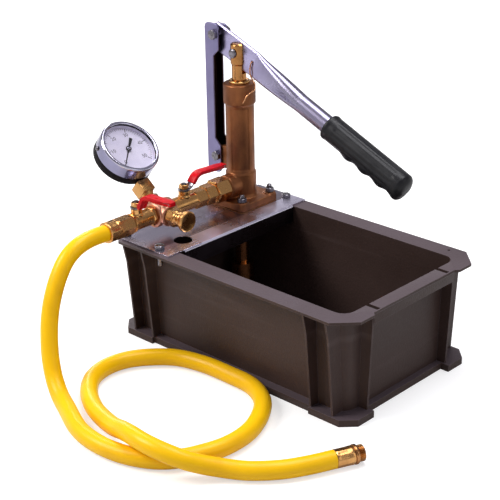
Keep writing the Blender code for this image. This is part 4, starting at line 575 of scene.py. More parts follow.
def dressed(node, finish, width, segments=2, cuts=()):
    # a CAD node's own shape with its edges rounded; the cuts keep its flat faces free of holes
    bm = bmesh.new()
    bm.from_mesh(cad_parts[node].data)
    bmesh.ops.remove_doubles(bm, verts=bm.verts, dist=2e-6)
    for x in cuts:
        made = bmesh.ops.bisect_plane(bm, geom=bm.verts[:] + bm.edges[:] + bm.faces[:],
                                      plane_co=(x, 0, 0), plane_no=(1, 0, 0))["geom_cut"]
        for part in made:
            if isinstance(part, bmesh.types.BMEdge):
                part.seam = True
    bmesh.ops.dissolve_limit(bm, angle_limit=math.radians(1), verts=bm.verts, edges=bm.edges,
                             delimit={'SEAM'})
    name = "".join(w.capitalize() if i else w for i, w in enumerate(node.split("_")))
    obj = addPiece(name + "Shown", bm, Matrix(), finish)
    soften(obj, width, segments)
    return obj


def carry(obj, body, *nodes):
    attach(obj, body)
    if nodes:
        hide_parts(*nodes)
    return obj


def paint(finish, *nodes):
    for node in nodes:
        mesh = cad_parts[node].data
        mesh.materials.clear()
        mesh.materials.append(look[finish])


# hose

hose = {
    "radius": 0.0097,
    "length": 1.205,
    "points": 220,
    "route": [
        (-0.1350, -0.1553, 0.1506), (-0.1350, -0.1700, 0.1513), (-0.1350, -0.1840, 0.1502),
        (-0.1349, -0.1984, 0.1462), (-0.1343, -0.2115, 0.1385), (-0.1332, -0.2224, 0.1270),
        (-0.1312, -0.2334, 0.1106), (-0.1281, -0.2435, 0.0901), (-0.1232, -0.2512, 0.0685),
        (-0.1155, -0.2580, 0.0445), (-0.1050, -0.2634, 0.0260), (-0.0890, -0.2700, 0.0140),
        (-0.0685, -0.2784, 0.0101), (-0.0192, -0.3000, 0.0098), (0.0187, -0.3045, 0.0098),
        (0.0503, -0.2994, 0.0098), (0.0775, -0.2863, 0.0098), (0.0930, -0.2703, 0.0098),
        (0.1042, -0.2481, 0.0098), (0.1120, -0.2191, 0.0098), (0.1093, -0.1843, 0.0098),
        (0.0927, -0.1490, 0.0098), (0.0745, -0.1285, 0.0098), (0.0460, -0.1150, 0.0098),
        (0.0115, -0.1132, 0.0098), (-0.0264, -0.1146, 0.0098), (-0.0603, -0.1240, 0.0098),
        (-0.0828, -0.1420, 0.0098), (-0.0985, -0.1646, 0.0098), (-0.1032, -0.1904, 0.0098),
        (-0.0955, -0.2178, 0.0098), (-0.0742, -0.2416, 0.0098), (-0.0402, -0.2624, 0.0112),
        (0.0076, -0.2800, 0.0180), (0.0340, -0.2880, 0.0262), (0.0500, -0.2923, 0.0300),
        (0.0660, -0.2949, 0.0312), (0.0820, -0.2948, 0.0308), (0.0985, -0.2908, 0.0282),
        (0.1135, -0.2818, 0.0228), (0.1253, -0.2690, 0.0165), (0.1365, -0.2570, 0.0122),
        (0.1473, -0.2483, 0.0103), (0.1609, -0.2384, 0.0098), (0.1820, -0.2163, 0.0098),
        (0.1973, -0.1910, 0.0098), (0.2078, -0.1682, 0.0098),
    ],
}


def smoothLine(points, count, between=12):
    # evenly spaced points on a centripetal curve through the given ones
    points = [Vector(point) for point in points]
    ends = [2 * points[0] - points[1]] + points + [2 * points[-1] - points[-2]]
    fine = []
    for a, b, c, d in zip(ends, ends[1:], ends[2:], ends[3:]):
        t1 = math.sqrt((b - a).length)
        t2 = t1 + math.sqrt((c - b).length)
        t3 = t2 + math.sqrt((d - c).length)
        for i in range(between):
            t = t1 + (t2 - t1) * i / between
            ab = a.lerp(b, t / t1)
            bc = b.lerp(c, (t - t1) / (t2 - t1))
            cd = c.lerp(d, (t - t2) / (t3 - t2))
            first = ab.lerp(bc, t / t2)
            second = bc.lerp(cd, (t - t1) / (t3 - t1))
            fine.append(first.lerp(second, (t - t1) / (t2 - t1)))
    fine.append(points[-1])
    reach = [0.0]
    for a, b in zip(fine, fine[1:]):
        reach.append(reach[-1] + (b - a).length)
    even = []
    at = 0
    for i in range(count):
        goal = reach[-1] * i / (count - 1)
        while at < len(reach) - 2 and reach[at + 1] < goal:
            at += 1
        share = (goal - reach[at]) / (reach[at + 1] - reach[at])
        even.append(fine[at].lerp(fine[at + 1], min(1.0, share)))
    return even


def tube(name, points, radius, finish, resolution):
    curve = bpy.data.curves.new(name, 'CURVE')
    curve.dimensions = '3D'
    curve.bevel_depth = radius
    curve.bevel_resolution = resolution
    curve.use_fill_caps = True
    line = curve.splines.new('POLY')
    line.points.add(len(points) - 1)
    for target, point in zip(line.points, points):
        target.co = (*point, 1)
    curve.materials.append(look[finish])
    obj = bpy.data.objects.new(name, curve)
    bpy.context.scene.collection.objects.link(obj)
    return obj


ferrule = {"start": -0.1388, "end": -0.1550, "radius": 0.0121, "bore": 0.0058, "ring": 0.12}
hoseEnd = {
    "length": 0.0200, "radius": 0.0098, "bore": 0.0042, "ring": 0.18,
    "nut": 0.0110, "nutBore": 0.0065, "collar": 0.0103, "thread": 0.0086, "groove": 0.0006,
    "pitch": 0.0005, "turns": 13,
}
crimp = {"flutes": 12, "depth": 0.045, "start": 0.14, "stop": 0.10, "slices": 8}


def crimped(name, spec, length, place):
    # pressed sleeve: shallow flats along it, plain rings at its ends
    radius, bore, ring = spec["radius"], spec["bore"], spec["ring"]
    profile = eased([(bore, 0), (radius * 0.97, 0), (radius, 0.0015), (radius, length * (1 - ring)),
                     (radius, length - 0.0012), (radius * 0.95, length), (bore, length)], 0.0006, True)
    bm = spun(profile, fineSteps, True)
    for i in range(crimp["slices"]):
        share = crimp["start"] + (1 - crimp["start"] - ring - crimp["stop"]) * i / crimp["slices"]
        bmesh.ops.bisect_plane(bm, geom=bm.verts[:] + bm.edges[:] + bm.faces[:],
                               plane_co=(0, 0, length * share), plane_no=(0, 0, 1))
    for vert in bm.verts:
        if vert.co.xy.length < radius * 0.9:
            continue
        along = vert.co.z / length
        inside = max(0.0, min(1.0, (along - 0.04) / 0.12, (1 - ring - along) / 0.08))
        turn = math.atan2(vert.co.y, vert.co.x) * crimp["flutes"]
        dip = 1 - inside * crimp["depth"] * (0.5 + 0.5 * math.cos(turn)) ** 0.6
        vert.co.x *= dip
        vert.co.y *= dip
    return addPiece(name, bm, place, "brass", math.radians(50))


def buildHose():
    even = smoothLine(hose["route"], hose["points"])
    line = tube("outletHose", even, hose["radius"], "hose", 8)
    carry(line, "stand", "outlet_hose")

    start = crimped("hoseFerrule", ferrule, ferrule["start"] - ferrule["end"], onTrain(ferrule["start"]))
    carry(start, "stand", "hose_ferrule")

    e = hoseEnd
    ahead = (even[-1] - even[-2]).normalized()
    place = aimed(even[-1] + ahead * play, ahead, (0, 0, 1))
    sleeve = crimped("endFerrule", e, e["length"], place)
    carry(sleeve, "stand", "hose_end_ferrule")
    low = e["length"] + play
    high = low + e["nut"]
    radius, collar = e["thread"], e["collar"]
    profile = [(e["nutBore"], low), (collar - 0.0005, low), (collar, low + 0.0008), (collar, low + 0.0030),
               (collar - 0.0007, low + 0.0038), (radius, low + 0.0040)]
    profile += [(radius - (e["groove"] if i % 2 else 0), low + 0.0042 + i * e["pitch"])
                for i in range(e["turns"])]
    profile += [(radius - 0.0010, high), (e["nutBore"], high)]
    end = addPiece("endThread", spun(profile, midSteps, True), place, "darkBrass", math.radians(70))
    carry(end, "stand", "hose_end_nut")


buildHose()
print("hose laid")


# tank, plate and screws

# x of the cuts that keep the flat faces round an opening free of holes
tankShell = {"edge": 0.0005, "cuts": (-0.163, -0.103, 0.001, 0.1397)}
plateSheet = {"edge": 0.0003, "cuts": (-0.163, -0.159, -0.135, -0.111, -0.103, -0.1009)}
plateScrew = {
    "flats": 0.010, "height": 0.0042, "seat": 0.1253, "nut": (0.1149, 0.1199),
    "shank": [(0, 0.104), (0.0022, 0.104), (0.003, 0.105), (0.003, 0.1263), (0, 0.1263)],
    "spots": {"plate_screw_front": (-0.103, -0.104), "plate_screw_back": (-0.103, 0.108),
              "plate_screw_front_corner": (-0.163, -0.100), "plate_screw_back_corner": (-0.163, 0.100)},
}
flangeScrew = {
    "flats": 0.010, "height": 0.005, "seat": 0.1371, "reach": 0.0240, "tail": 0.004,
    "foot": 0.1238, "shank": 0.003, "tip": 0.0022, "groove": 0.0003, "pitch": 0.00035, "turns": 11,
    "sides": {"front_left": (-1, -1), "front_right": (1, -1), "back_right": (1, 1), "back_left": (-1, 1)},
}


def buildTank():
    carry(dressed("tank", "tank", tankShell["edge"], 2, tankShell["cuts"]), "stand", "tank")
    plate = dressed("mounting_plate", "plate", plateSheet["edge"], 2, plateSheet["cuts"])
    carry(plate, "stand", "mounting_plate")
    s = plateScrew
    for node, (x, y) in s["spots"].items():
        place = upright(x, y)
        name = node.replace("plate_screw_", "plateScrew")
        obj = nut(name, s["flats"], s["seat"], s["seat"] + s["height"], place, "zinc", ends=(0, 1))
        unite(obj, s["shank"], place)
        combine(obj, nut("below", s["flats"], *s["nut"], place, None), 'UNION')
        carry(settle(obj), "stand", node)
    s = flangeScrew
    low, high = s["seat"], s["seat"] + s["height"]
    tip = high + s["tail"]
    stud = [(0, s["foot"]), (s["shank"], s["foot"])]
    stud += [(s["shank"] - (s["groove"] if i % 2 else 0), high - 0.0006 + i * s["pitch"])
             for i in range(s["turns"])]
    stud += [(s["shank"], tip - 0.0007), (s["tip"], tip), (0, tip)]
    for node, (sx, sy) in s["sides"].items():
        place = upright(pumpSpot.x + sx * s["reach"], pumpSpot.y + sy * s["reach"])
        obj = nut("flangeScrew" + node.title().replace("_", ""), s["flats"], low, high, place, "zinc")
        unite(obj, stud, place)
        carry(settle(obj), "stand", "flange_screw_" + node)
    paint("cast", "flange_gasket")
    paint("grip", "gland_packing", "plunger_seal")
    # the suction pipe is dark brass; the strainer deep in the tank is given it too as painted shade
    paint("darkBrass", "suction_pipe", "suction_strainer")
    paint("zinc", "suction_ball", "pump_valve_ball", "hose_valve_ball")


buildTank()
print("tank and plate made")


# pump body

pinHole = bar(0.0043, -0.02, 0.02)
pivots = {"lug": (-0.1657, 0.1792), "link": (-0.1665, 0.3286)}
body = {
    "flange": 0.063, "flangeLow": 0.1264, "flangeTop": 0.1350, "corner": 0.005,
    "pad": 0.0074, "padTop": 0.1368, "root": 0.128, "edge": 0.0014,
    "boss": 0.0185, "upperBoss": 0.0192, "barrel": 0.0170,
    "bottomBoss": 0.166, "topBoss": 0.2498, "top": 0.2748,
    "port": 0.0145, "portEnd": 0.034, "mouth": 0.0096, "mouthStart": 0.016,
    "lugRound": 0.0103, "lugHalf": 0.0062, "lugRoot": [(-0.135, 0.158), (-0.135, 0.199)],
    "panelInside": 0.0162, "panelTurn": (-86, -8), "panelLow": 0.1685, "panelHigh": 0.2465,
    "bore": [(0, 0.120), (0.0088, 0.120), (0.0088, 0.1324), (0.004, 0.1324), (0.004, 0.1375),
             (0.0078, 0.1415), (0.0078, 0.1585), (0.0092, 0.1585), (0.0092, 0.2565),
             (0.0125, 0.2565), (0.0125, 0.279), (0, 0.279)],
    "voxel": 0.0007,
}


def melt(obj, voxel):
    remesh = obj.modifiers.new("melt", 'REMESH')
    remesh.mode = 'VOXEL'
    remesh.voxel_size = voxel


def cast(obj, voxel, passes):
    # melts the joined forms into one casting with soft corners
    melt(obj, voxel)
    smooth = obj.modifiers.new("rub", 'SMOOTH')
    smooth.factor = 0.5
    smooth.iterations = passes
    return settle(obj, math.radians(60))


def joined(name, parts, finish):
    # one mesh of several overlapping closed forms
    bm = bmesh.new()
    for part, place in parts:
        bmesh.ops.recalc_face_normals(part, faces=part.faces)
        part.transform(place)
        mesh = bpy.data.meshes.new("part")
        part.to_mesh(mesh)
        part.free()
        bm.from_mesh(mesh)
        bpy.data.meshes.remove(mesh)
    return addPiece(name, bm, Matrix(), finish)


def buildPumpBody():
    b = body
    axis = upright(pumpSpot.x, pumpSpot.y)
    half, edge, boss, upper = b["flange"] / 2, b["edge"], b["boss"], b["upperBoss"]
    barrel = [(0, b["root"]), (boss + 0.002, b["root"]), (boss + 0.0015, 0.1360), (boss, 0.1385),
              (boss, b["bottomBoss"] - edge), (boss - edge, b["bottomBoss"]),
              (b["barrel"], b["bottomBoss"] + edge), (b["barrel"], b["topBoss"] - edge),
              (upper, b["topBoss"] + edge), (upper, b["top"] - edge), (upper - edge, b["top"]), (0, b["top"])]
    portEnd = pumpSpot.y - b["portEnd"]
    port = [(0, 0), (b["port"], 0), (b["port"], portEnd - edge), (b["port"] - edge, portEnd), (0, portEnd)]
    lug = bow(pivots["lug"], b["lugRound"], 110, 250, 16) + b["lugRoot"]
    parts = [
        (slab(rounded(half, half, b["corner"]), b["flangeLow"], b["flangeTop"]), axis),
        (spun(barrel), axis), (spun(port), onTrain(pumpSpot.y)),
        (slab(lug, -b["lugHalf"], b["lugHalf"]), acrossLink(0, 0)),
    ]
    reach = flangeScrew["reach"]
    for sx in (-1, 1):
        for sy in (-1, 1):
            spot = upright(pumpSpot.x + sx * reach, pumpSpot.y + sy * reach)
            parts.append((spun(bar(b["pad"], b["root"], b["padTop"]), midSteps), spot))
    obj = joined("pumpBody", parts, "cast")
    first, last = b["panelTurn"]
    panel = bow((0, 0), b["panelInside"], first, last, 20)
    panel += bow((0, 0), b["barrel"] + 0.004, last, first, 20)
    melt(obj, b["voxel"])
    cutOut(obj, slab(panel, b["panelLow"], b["panelHigh"]), axis)
    settle(obj)
    cast(obj, b["voxel"], 5)
    bored(obj, b["bore"], axis)
    bored(obj, bar(b["mouth"], b["mouthStart"], portEnd + 0.003), onTrain(pumpSpot.y))
    bored(obj, pinHole, acrossLink(*pivots["lug"]))
    settle(obj, math.radians(45))
    carry(obj, "stand", "pump_body")


buildPumpBody()
print("pump body cast")


# plunger and gland

plunger = {
    "radius": 0.0086, "bottom": 0.160, "chamfer": 0.0008,
    "groove": 0.0016, "grooveLow": 0.1637, "grooveHigh": 0.1677,
    "head": 0.0098, "headLow": 0.298, "top": 0.3225, "slotHalf": 0.0032, "slotLow": 0.2865, "slotEnd": 0.33,
    "pinHeight": 0.3112, "pin": 0.004, "pinEnd": -0.0124, "pinHead": 0.0056,
}
gland = [(0.0089, 0.2667), (0.0122, 0.2667), (0.0122, 0.2751), (0.0126, 0.2751), (0.0126, 0.2774),
         (0.0118, 0.2782), (0.0104, 0.2785), (0.0089, 0.2779)]


def buildPlunger():
    p = plunger
    axis = upright(pumpSpot.x, pumpSpot.y)
    cross = acrossLink(pumpSpot.x, p["pinHeight"])
    radius, head, groove = p["radius"], p["head"], p["radius"] - p["groove"]
    profile = [(0, p["bottom"]), (radius - p["chamfer"], p["bottom"]), (radius, p["bottom"] + 0.0016),
               (radius, p["grooveLow"]), (groove, p["grooveLow"]), (groove, p["grooveHigh"]),
               (radius, p["grooveHigh"]), (radius, p["headLow"] - 0.0016), (head, p["headLow"]),
               (head, p["top"] - 0.0022), (head - 0.0022, p["top"]), (0, p["top"])]
    rod = addPiece("plungerRod", spun(eased(profile, 0.0004)), axis, "rodBrass", math.radians(50))
    half = p["slotHalf"]
    slot = [(0.02, -half), (0.02, half), (-0.02, half), (-0.02, -half)]
    cutOut(rod, slab(slot, p["slotLow"], p["slotEnd"]), axis)
    bored(rod, pinHole, cross)
    settle(rod, math.radians(40))
    carry(rod, "plunger", "plunger_rod")

    reach, end, pin, cap = head + play, p["pinEnd"], p["pin"], p["pinHead"]
    profile = [(0, end), (pin - 0.0006, end), (pin, end + 0.0006), (pin, reach), (cap, reach),
               (cap, reach + 0.0012), (cap - 0.0014, reach + 0.0023), (0, reach + 0.0026)]
    obj = addPiece("rodPin", spun(eased(profile, 0.0003), midSteps), cross, "zinc", math.radians(50))
    carry(obj, "plunger", "rod_pin")

    bm = spun(eased(gland, 0.0003, True), fineSteps, True)
    carry(addPiece("glandNut", bm, axis, "goldBrass", math.radians(50)), "stand", "gland_nut")


buildPlunger()
print("plunger made")


# link, lever, grip and wire

link = {"edge": 0.0006, "cuts": (-0.1665, -0.1657), "shoulder": 0.3365, "nearDrop": 0.0018, "farDrop": 0.0050}
linkBolt = {"flats": 0.0108, "seat": 0.0093, "head": 0.0042, "nut": 0.0050, "shank": 0.0040, "end": -0.0163}
lever = {
    "knee": (-0.110, 0.2987), "flatSlope": -21.7, "tubeSlope": -23.75, "endX": -0.1793,
    "flatHalf": 0.0152, "flatThick": 0.0025, "flatLift": 0.0012, "crest": (0.0012, 0.0008), "crestEnd": 0.25,
    "tube": 0.0107, "blend": 0.078, "rings": 24, "intoGrip": 0.100,
    "endRound": 0.0123, "endTurn": (98, 200), "wireHole": (-0.1114, 0.3035), "wireBore": 0.0021,
    "slot": (-0.13657, 0.31182), "slotTilt": -29.3, "slotHalf": 0.0045, "slotReach": 0.0018,
}


def buildLink():
    obj = dressed("link_channel", "link", link["edge"], 3, link["cuts"])
    # the top edge lies lower, most of all on the cheek behind the lever
    for vert in obj.data.vertices:
        if vert.co.z > link["shoulder"]:
            vert.co.z -= link["nearDrop"] if vert.co.y < pumpSpot.y else link["farDrop"]
    carry(obj, "link", "link_channel")
    b = linkBolt
    flats, seat, shank, end, high = b["flats"], b["seat"], b["shank"], b["end"], b["seat"] + b["head"]
    # nut behind the far cheek, head in front of the near one
    profile = [(0, end), (shank - 0.0008, end), (shank, end + 0.0008)]
    profile += nutProfile(flats, -seat - b["nut"], -seat, shank, ends=(1, 0))
    profile += nutProfile(flats, seat, high, shank, ends=(0, 1))[:-1] + [(0, high)]
    for name, spot in (("upper", pivots["link"]), ("lower", pivots["lug"])):
        bm = spun(profile, sides=hexagon["sides"], flat=flats / 2)
        bolt = addPiece("link" + name.title() + "Bolt", bm, acrossLink(*spot), "zinc")
        carry(bolt, "link", "link_" + name + "_bolt")


def leverRing(bm, distance, high, thick, corner, slope, crest=0.0):
    ahead = Vector((math.cos(slope), 0, math.sin(slope)))
    rise = Vector((-math.sin(slope), 0, math.cos(slope)))
    middle = Vector((lever["knee"][0], pumpSpot.y, lever["knee"][1])) + ahead * distance
    lift = lever["flatLift"] + crest
    ring = [bm.verts.new(middle + rise * (h + lift) + Vector((0, t, 0)))
            for h, t in rounded(high, thick, corner, 10)]
    return [bm.edges.new((ring[i - 1], ring[i])) for i in range(len(ring))]


def buildLever():
    v = lever
    flat, tubeSlope = math.radians(v["flatSlope"]), math.radians(v["tubeSlope"])
    half, thin, tubeRadius = v["flatHalf"], v["flatThick"], v["tube"]
    bm = bmesh.new()
    start = (v["endX"] - v["knee"][0]) / math.cos(flat)
    rings = [leverRing(bm, distance, half + crest, thin, thin * 0.9, flat, crest)
             for distance, crest in ((start, v["crest"][0]), (0, v["crest"][1]))]
    for i in range(1, v["rings"] + 1):
        share = i / v["rings"]
        ease = share * share * (3 - 2 * share)
        crest = v["crest"][1] * max(0.0, 1 - share / v["crestEnd"]) ** 2
        high = half + (tubeRadius - half) * share ** 1.5 + crest
        thick = thin + (tubeRadius - thin) * math.sqrt(ease)
        corner = min(high, thick) - 0.0002 * (1 - share) - 1e-6
        rings.append(leverRing(bm, v["blend"] * share, high, thick, corner, tubeSlope, crest))
    end = (Vector(grip["start"]) - Vector(v["knee"])).length + v["intoGrip"]
    rings.append(leverRing(bm, end, tubeRadius, tubeRadius, tubeRadius - 1e-6, tubeSlope))
    for near, far in zip(rings, rings[1:]):
        bmesh.ops.bridge_loops(bm, edges=near + far)
    for ring in (rings[0], rings[-1]):
        bmesh.ops.contextual_create(bm, geom=ring)
    obj = addPiece("lever", bm, Matrix(), "lever", math.radians(40))

    px, pz = pivots["link"]
    side = acrossLink(0, 0)
    trim = bow((px, pz), v["endRound"], *v["endTurn"], 24)
    trim += [(px - 0.022, pz - 0.0042), (px - 0.022, pz + 0.022), (px - 0.0031, pz + 0.022)]
    cutOut(obj, slab(trim, -0.02, 0.02), side)
    left = px - v["endRound"]
    below = [(left - 0.02, pz), (left - 0.02, pz - 0.044), (left, pz - 0.044), (left, pz)]
    cutOut(obj, slab(below, -0.02, 0.02), side)
    bored(obj, pinHole, acrossLink(px, pz))
    bored(obj, bar(v["wireBore"], -0.02, 0.02), acrossLink(*v["wireHole"]))
    slot = bow((v["slotReach"], 0), v["slotHalf"], -90, 90, 16)
    slot += bow((-v["slotReach"], 0), v["slotHalf"], 90, 270, 16)
    tilt = acrossLink(*v["slot"]) @ Matrix.Rotation(math.radians(v["slotTilt"]), 4, 'Z')
    cutOut(obj, slab(slot, -0.02, 0.02), tilt)
    settle(obj, math.radians(38))
    carry(obj, "lever", "lever")


grip = {
    "start": (0.0036, 0.2487), "length": 0.1195, "radius": 0.0148, "bore": 0.0110, "boreDepth": 0.102,
    "collar": 0.0158, "collarLength": 0.006, "lead": 0.003, "leadDrop": 0.001, "endBulge": 0.86,
    "firstPeak": 0.0395, "pitch": 0.0245, "fingers": 4, "wave": 0.0034,
    "ribs": 14, "ribDepth": 0.0006, "ribStart": 0.012, "ribStop": 0.014, "ribFade": 0.004, "stations": 150,
}


def buildGrip():
    g = grip
    length, radius = g["length"], g["radius"]
    slope = math.radians(lever["tubeSlope"])
    start = Vector((g["start"][0], pumpSpot.y, g["start"][1]))
    start += Vector((-math.sin(slope), 0, math.cos(slope))) * lever["flatLift"]
    place = aimed(start, (math.cos(slope), 0, math.sin(slope)), (0, 0, 1))
    profile = [(g["bore"], 0.0)]
    for i in range(g["stations"] + 1):
        s = length * i / g["stations"]
        end = max(0.0, (s - length + radius / 2) / (radius / 2))
        dome = math.sqrt(max(0.0, 1 - (end * g["endBulge"]) ** 2))
        lead = max(0.0, 1 - s / g["lead"])
        collar = (g["collar"] - radius) * max(0.0, 1 - s / g["collarLength"])
        profile.append(((radius + collar - lead * lead * g["leadDrop"]) * dome, s))
    profile += [(0, length), (0, g["boreDepth"]), (g["bore"], g["boreDepth"])]
    bm = spun(profile, fineSteps, True)
    for vert in bm.verts:
        s = vert.co.z
        reach = vert.co.xy.length
        if reach < g["bore"] + 0.0005:
            continue
        turn = math.atan2(vert.co.y, vert.co.x)
        below = max(0.0, -math.cos(turn))
        # rounded crests between the fingers, on the underside
        inside = -g["pitch"] / 2 < s - g["firstPeak"] < g["pitch"] * (g["fingers"] - 0.5)
        phase = (s - g["firstPeak"]) / g["pitch"] * math.tau
        wave = (0.5 + 0.5 * math.cos(phase)) if inside else 0.0
        grow = g["wave"] * wave * below * below
        # shallow ribs run along the upper side between the collar and the end cap
        fade = g["ribFade"]
        share = max(0.0, min(1.0, (s - g["ribStart"]) / fade, (length - g["ribStop"] - s) / fade))
        grow -= g["ribDepth"] * share * (1 - below) * (0.5 + 0.5 * math.cos(turn * g["ribs"])) ** 2
        vert.co.x *= 1 + grow / reach
        vert.co.y *= 1 + grow / reach
    carry(addPiece("handGrip", bm, place, "grip", math.radians(45)), "lever", "hand_grip")


wire = {
    # steps from the hole in the lever, behind it and in front of it
    "radius": 0.0008, "points": 120,
    "back": [(-0.0012, 0.0016, -0.0222), (-0.0018, 0.0038, -0.0170), (-0.0020, 0.0038, -0.0090),
             (0, 0.0036, 0), (0, -0.0036, 0)],
    "front": [(-0.0022, -0.0040, -0.0080), (-0.0014, -0.0041, -0.0160), (-0.0002, -0.0020, -0.0212),
              (-0.0020, 0.0024, -0.0262), (-0.0024, 0.0044, -0.0310), (-0.0024, 0.0028, -0.0350),
              (-0.0022, -0.0018, -0.0362), (-0.0034, -0.0080, -0.0392), (-0.0064, -0.0126, -0.0482)],
}


def buildWire():
    hole = Vector((lever["wireHole"][0], pumpSpot.y, lever["wireHole"][1]))
    points = [hole + Vector(step) for step in wire["back"] + wire["front"]]
    obj = tube("tieWire", smoothLine(points, wire["points"]), wire["radius"], "copper", 3)
    carry(obj, "lever", "tie_wire")


buildLink()
buildLever()
buildGrip()
buildWire()
print("linkage made")


# fittings along the train

# y of both ends of each hexagon
portFitting = {"flats": 0.026, "start": 0.0337, "end": 0.0130, "bore": 0.0043,
               "spigot": 0.0093, "spigotEnd": -0.0125, "socket": 0.0075, "socketDepth": 0.009}
nipple = {"flats": 0.022, "start": 0.0127, "end": -0.0030, "bore": 0.004, "stub": 0.0072, "stubReach": 0.0087}


def buildPortFittings():
    p = portFitting
    length = p["start"] - p["end"]
    place = hexOnTrain(p["start"])
    obj = nut("portConnector", p["flats"], 0, length, place, "brass", bore=p["bore"])
    unite(obj, eased(bar(p["spigot"], p["spigotEnd"], 0.0005, p["bore"]), 0.0004, True), place, closed=True)
    bored(obj, bar(p["socket"], length - p["socketDepth"], length + 0.002), place)
    carry(settle(obj), "stand", "port_connector")

    n = nipple
    length = n["start"] - n["end"]
    place = hexOnTrain(n["start"])
    obj = nut("hexNipple", n["flats"], 0, length, place, "brass", bore=n["bore"])
    for low, high in ((-n["stubReach"], 0.0005), (length - 0.0005, length + n["stubReach"])):
        unite(obj, eased(bar(n["stub"], low, high, n["bore"]), 0.0003, True), place, closed=True)
    carry(settle(obj), "stand", "hex_nipple")


valve = {
    "flats": 0.0205, "radius": 0.0100, "collar": 0.0112, "collarWidth": 0.0026,
    "neck": [(0, 0.1526), (0.0074, 0.1526), (0.0074, 0.1600), (0.0066, 0.1612), (0.0066, 0.1664),
             (0, 0.1664)],
    "thread": 0.0085, "threadReach": 0.0087, "bore": 0.0034, "ball": 0.0065, "socket": 0.0075,
    "stem": (0.0033, 0.153, 0.17),
    "pump": {"stem": -0.0330, "inlet": -0.0033, "outlet": -0.0560, "hex": 0.0165, "maleOut": True},
    "hose": {"stem": -0.1075, "inlet": -0.0845, "outlet": -0.1172, "hex": 0.0050, "maleOut": False},
}


def buildValveBody(name):
    v, spec = valve, valve[name]
    place = hexOnTrain(spec["stem"])
    above = upright(pumpSpot.x, spec["stem"])
    inlet, outlet = spec["stem"] - spec["inlet"], spec["stem"] - spec["outlet"]
    hexEnd = inlet + spec["hex"]
    obj = nut(name + "ValveBody", v["flats"], inlet, hexEnd, place, "brass")
    radius, collar, rim = v["radius"], v["collar"], outlet - v["collarWidth"]
    barrel = [(0, hexEnd - 0.0015), (radius, hexEnd - 0.0015), (radius, rim - 0.0012),
              (collar, rim), (collar, outlet), (0, outlet)]
    unite(obj, eased(barrel, 0.0005), place, fineSteps)
    unite(obj, eased(v["neck"], 0.0004), above)
    reach = v["threadReach"]
    ends = (outlet - 0.002, outlet + reach) if spec["maleOut"] else (inlet - reach, inlet + 0.002)
    unite(obj, bar(v["thread"], *ends), place)
    bored(obj, bar(v["bore"], inlet - 0.012, outlet + 0.012), place)
    ball = v["ball"]
    pocket = [(0, -ball)] + [(ball * math.sin(a), -ball * math.cos(a))
                             for a in [math.pi * i / 16 for i in range(1, 16)]] + [(0, ball)]
    bored(obj, pocket, upright(pumpSpot.x, spec["stem"], trainHeight))
    mouth = (inlet - 0.002, inlet + 0.009) if spec["maleOut"] else (outlet - 0.0026, outlet + 0.002)
    bored(obj, bar(v["socket"], *mouth), place)
    bored(obj, bar(*v["stem"]), above)
    carry(settle(obj), "stand", name + "_valve_body")


handle = {
    "strip": 0.0018, "width": 0.0088, "height": 0.1670, "ring": 0.0070, "rise": 0.0080, "hole": 0.0033,
    "edge": 0.0003, "sleeve": 0.0011, "sleeveEdge": 0.0021,
    "nut": (0.0100, 0.1690, 0.1741), "nutTurn": 0.4,
    # covered: where the sleeve starts along the strip's points
    "pump": {"knee": (0.0205, 0.0150), "tip": (0.0650, 0.0125), "along": (0, 1, 0),
             "covered": 9, "bare": 0.25},
    "hose": {"knee": (0.0165, 0.0180), "tip": (0.0590, 0.0195), "along": (1, 0, 0),
             "covered": 6, "bare": 0.0},
    "tipShares": (0.35, 0.62, 0.78, 0.87, 0.93, 0.97, 1.0), "tipRound": 0.0105,
}


def handleLine(spec, bends):
    middle = handle["height"] + handle["strip"] / 2
    root, bend = Vector((0, middle)), Vector((handle["rise"], middle))
    knee = Vector((spec["knee"][0], handle["height"] + spec["knee"][1]))
    tip = Vector((spec["tip"][0], handle["height"] + spec["tip"][1]))
    line = [root]
    for corner, before, after in ((bend, root, knee), (knee, bend, tip)):
        near, far = corner.lerp(before, 0.36), corner.lerp(after, 0.18)
        for i in range(bends + 1):
            t = i / bends
            line.append(near.lerp(corner, t).lerp(corner.lerp(far, t), t))
    return line + [tip]


def ribbon(points, thickness):
    upper, lower = [], []
    for i, point in enumerate(points):
        ahead = (points[min(len(points) - 1, i + 1)] - points[max(0, i - 1)]).normalized()
        normal = Vector((-ahead.y, ahead.x)) * thickness / 2
        upper.append(tuple(point + normal))
        lower.append(tuple(point - normal))
    return upper + lower[::-1]


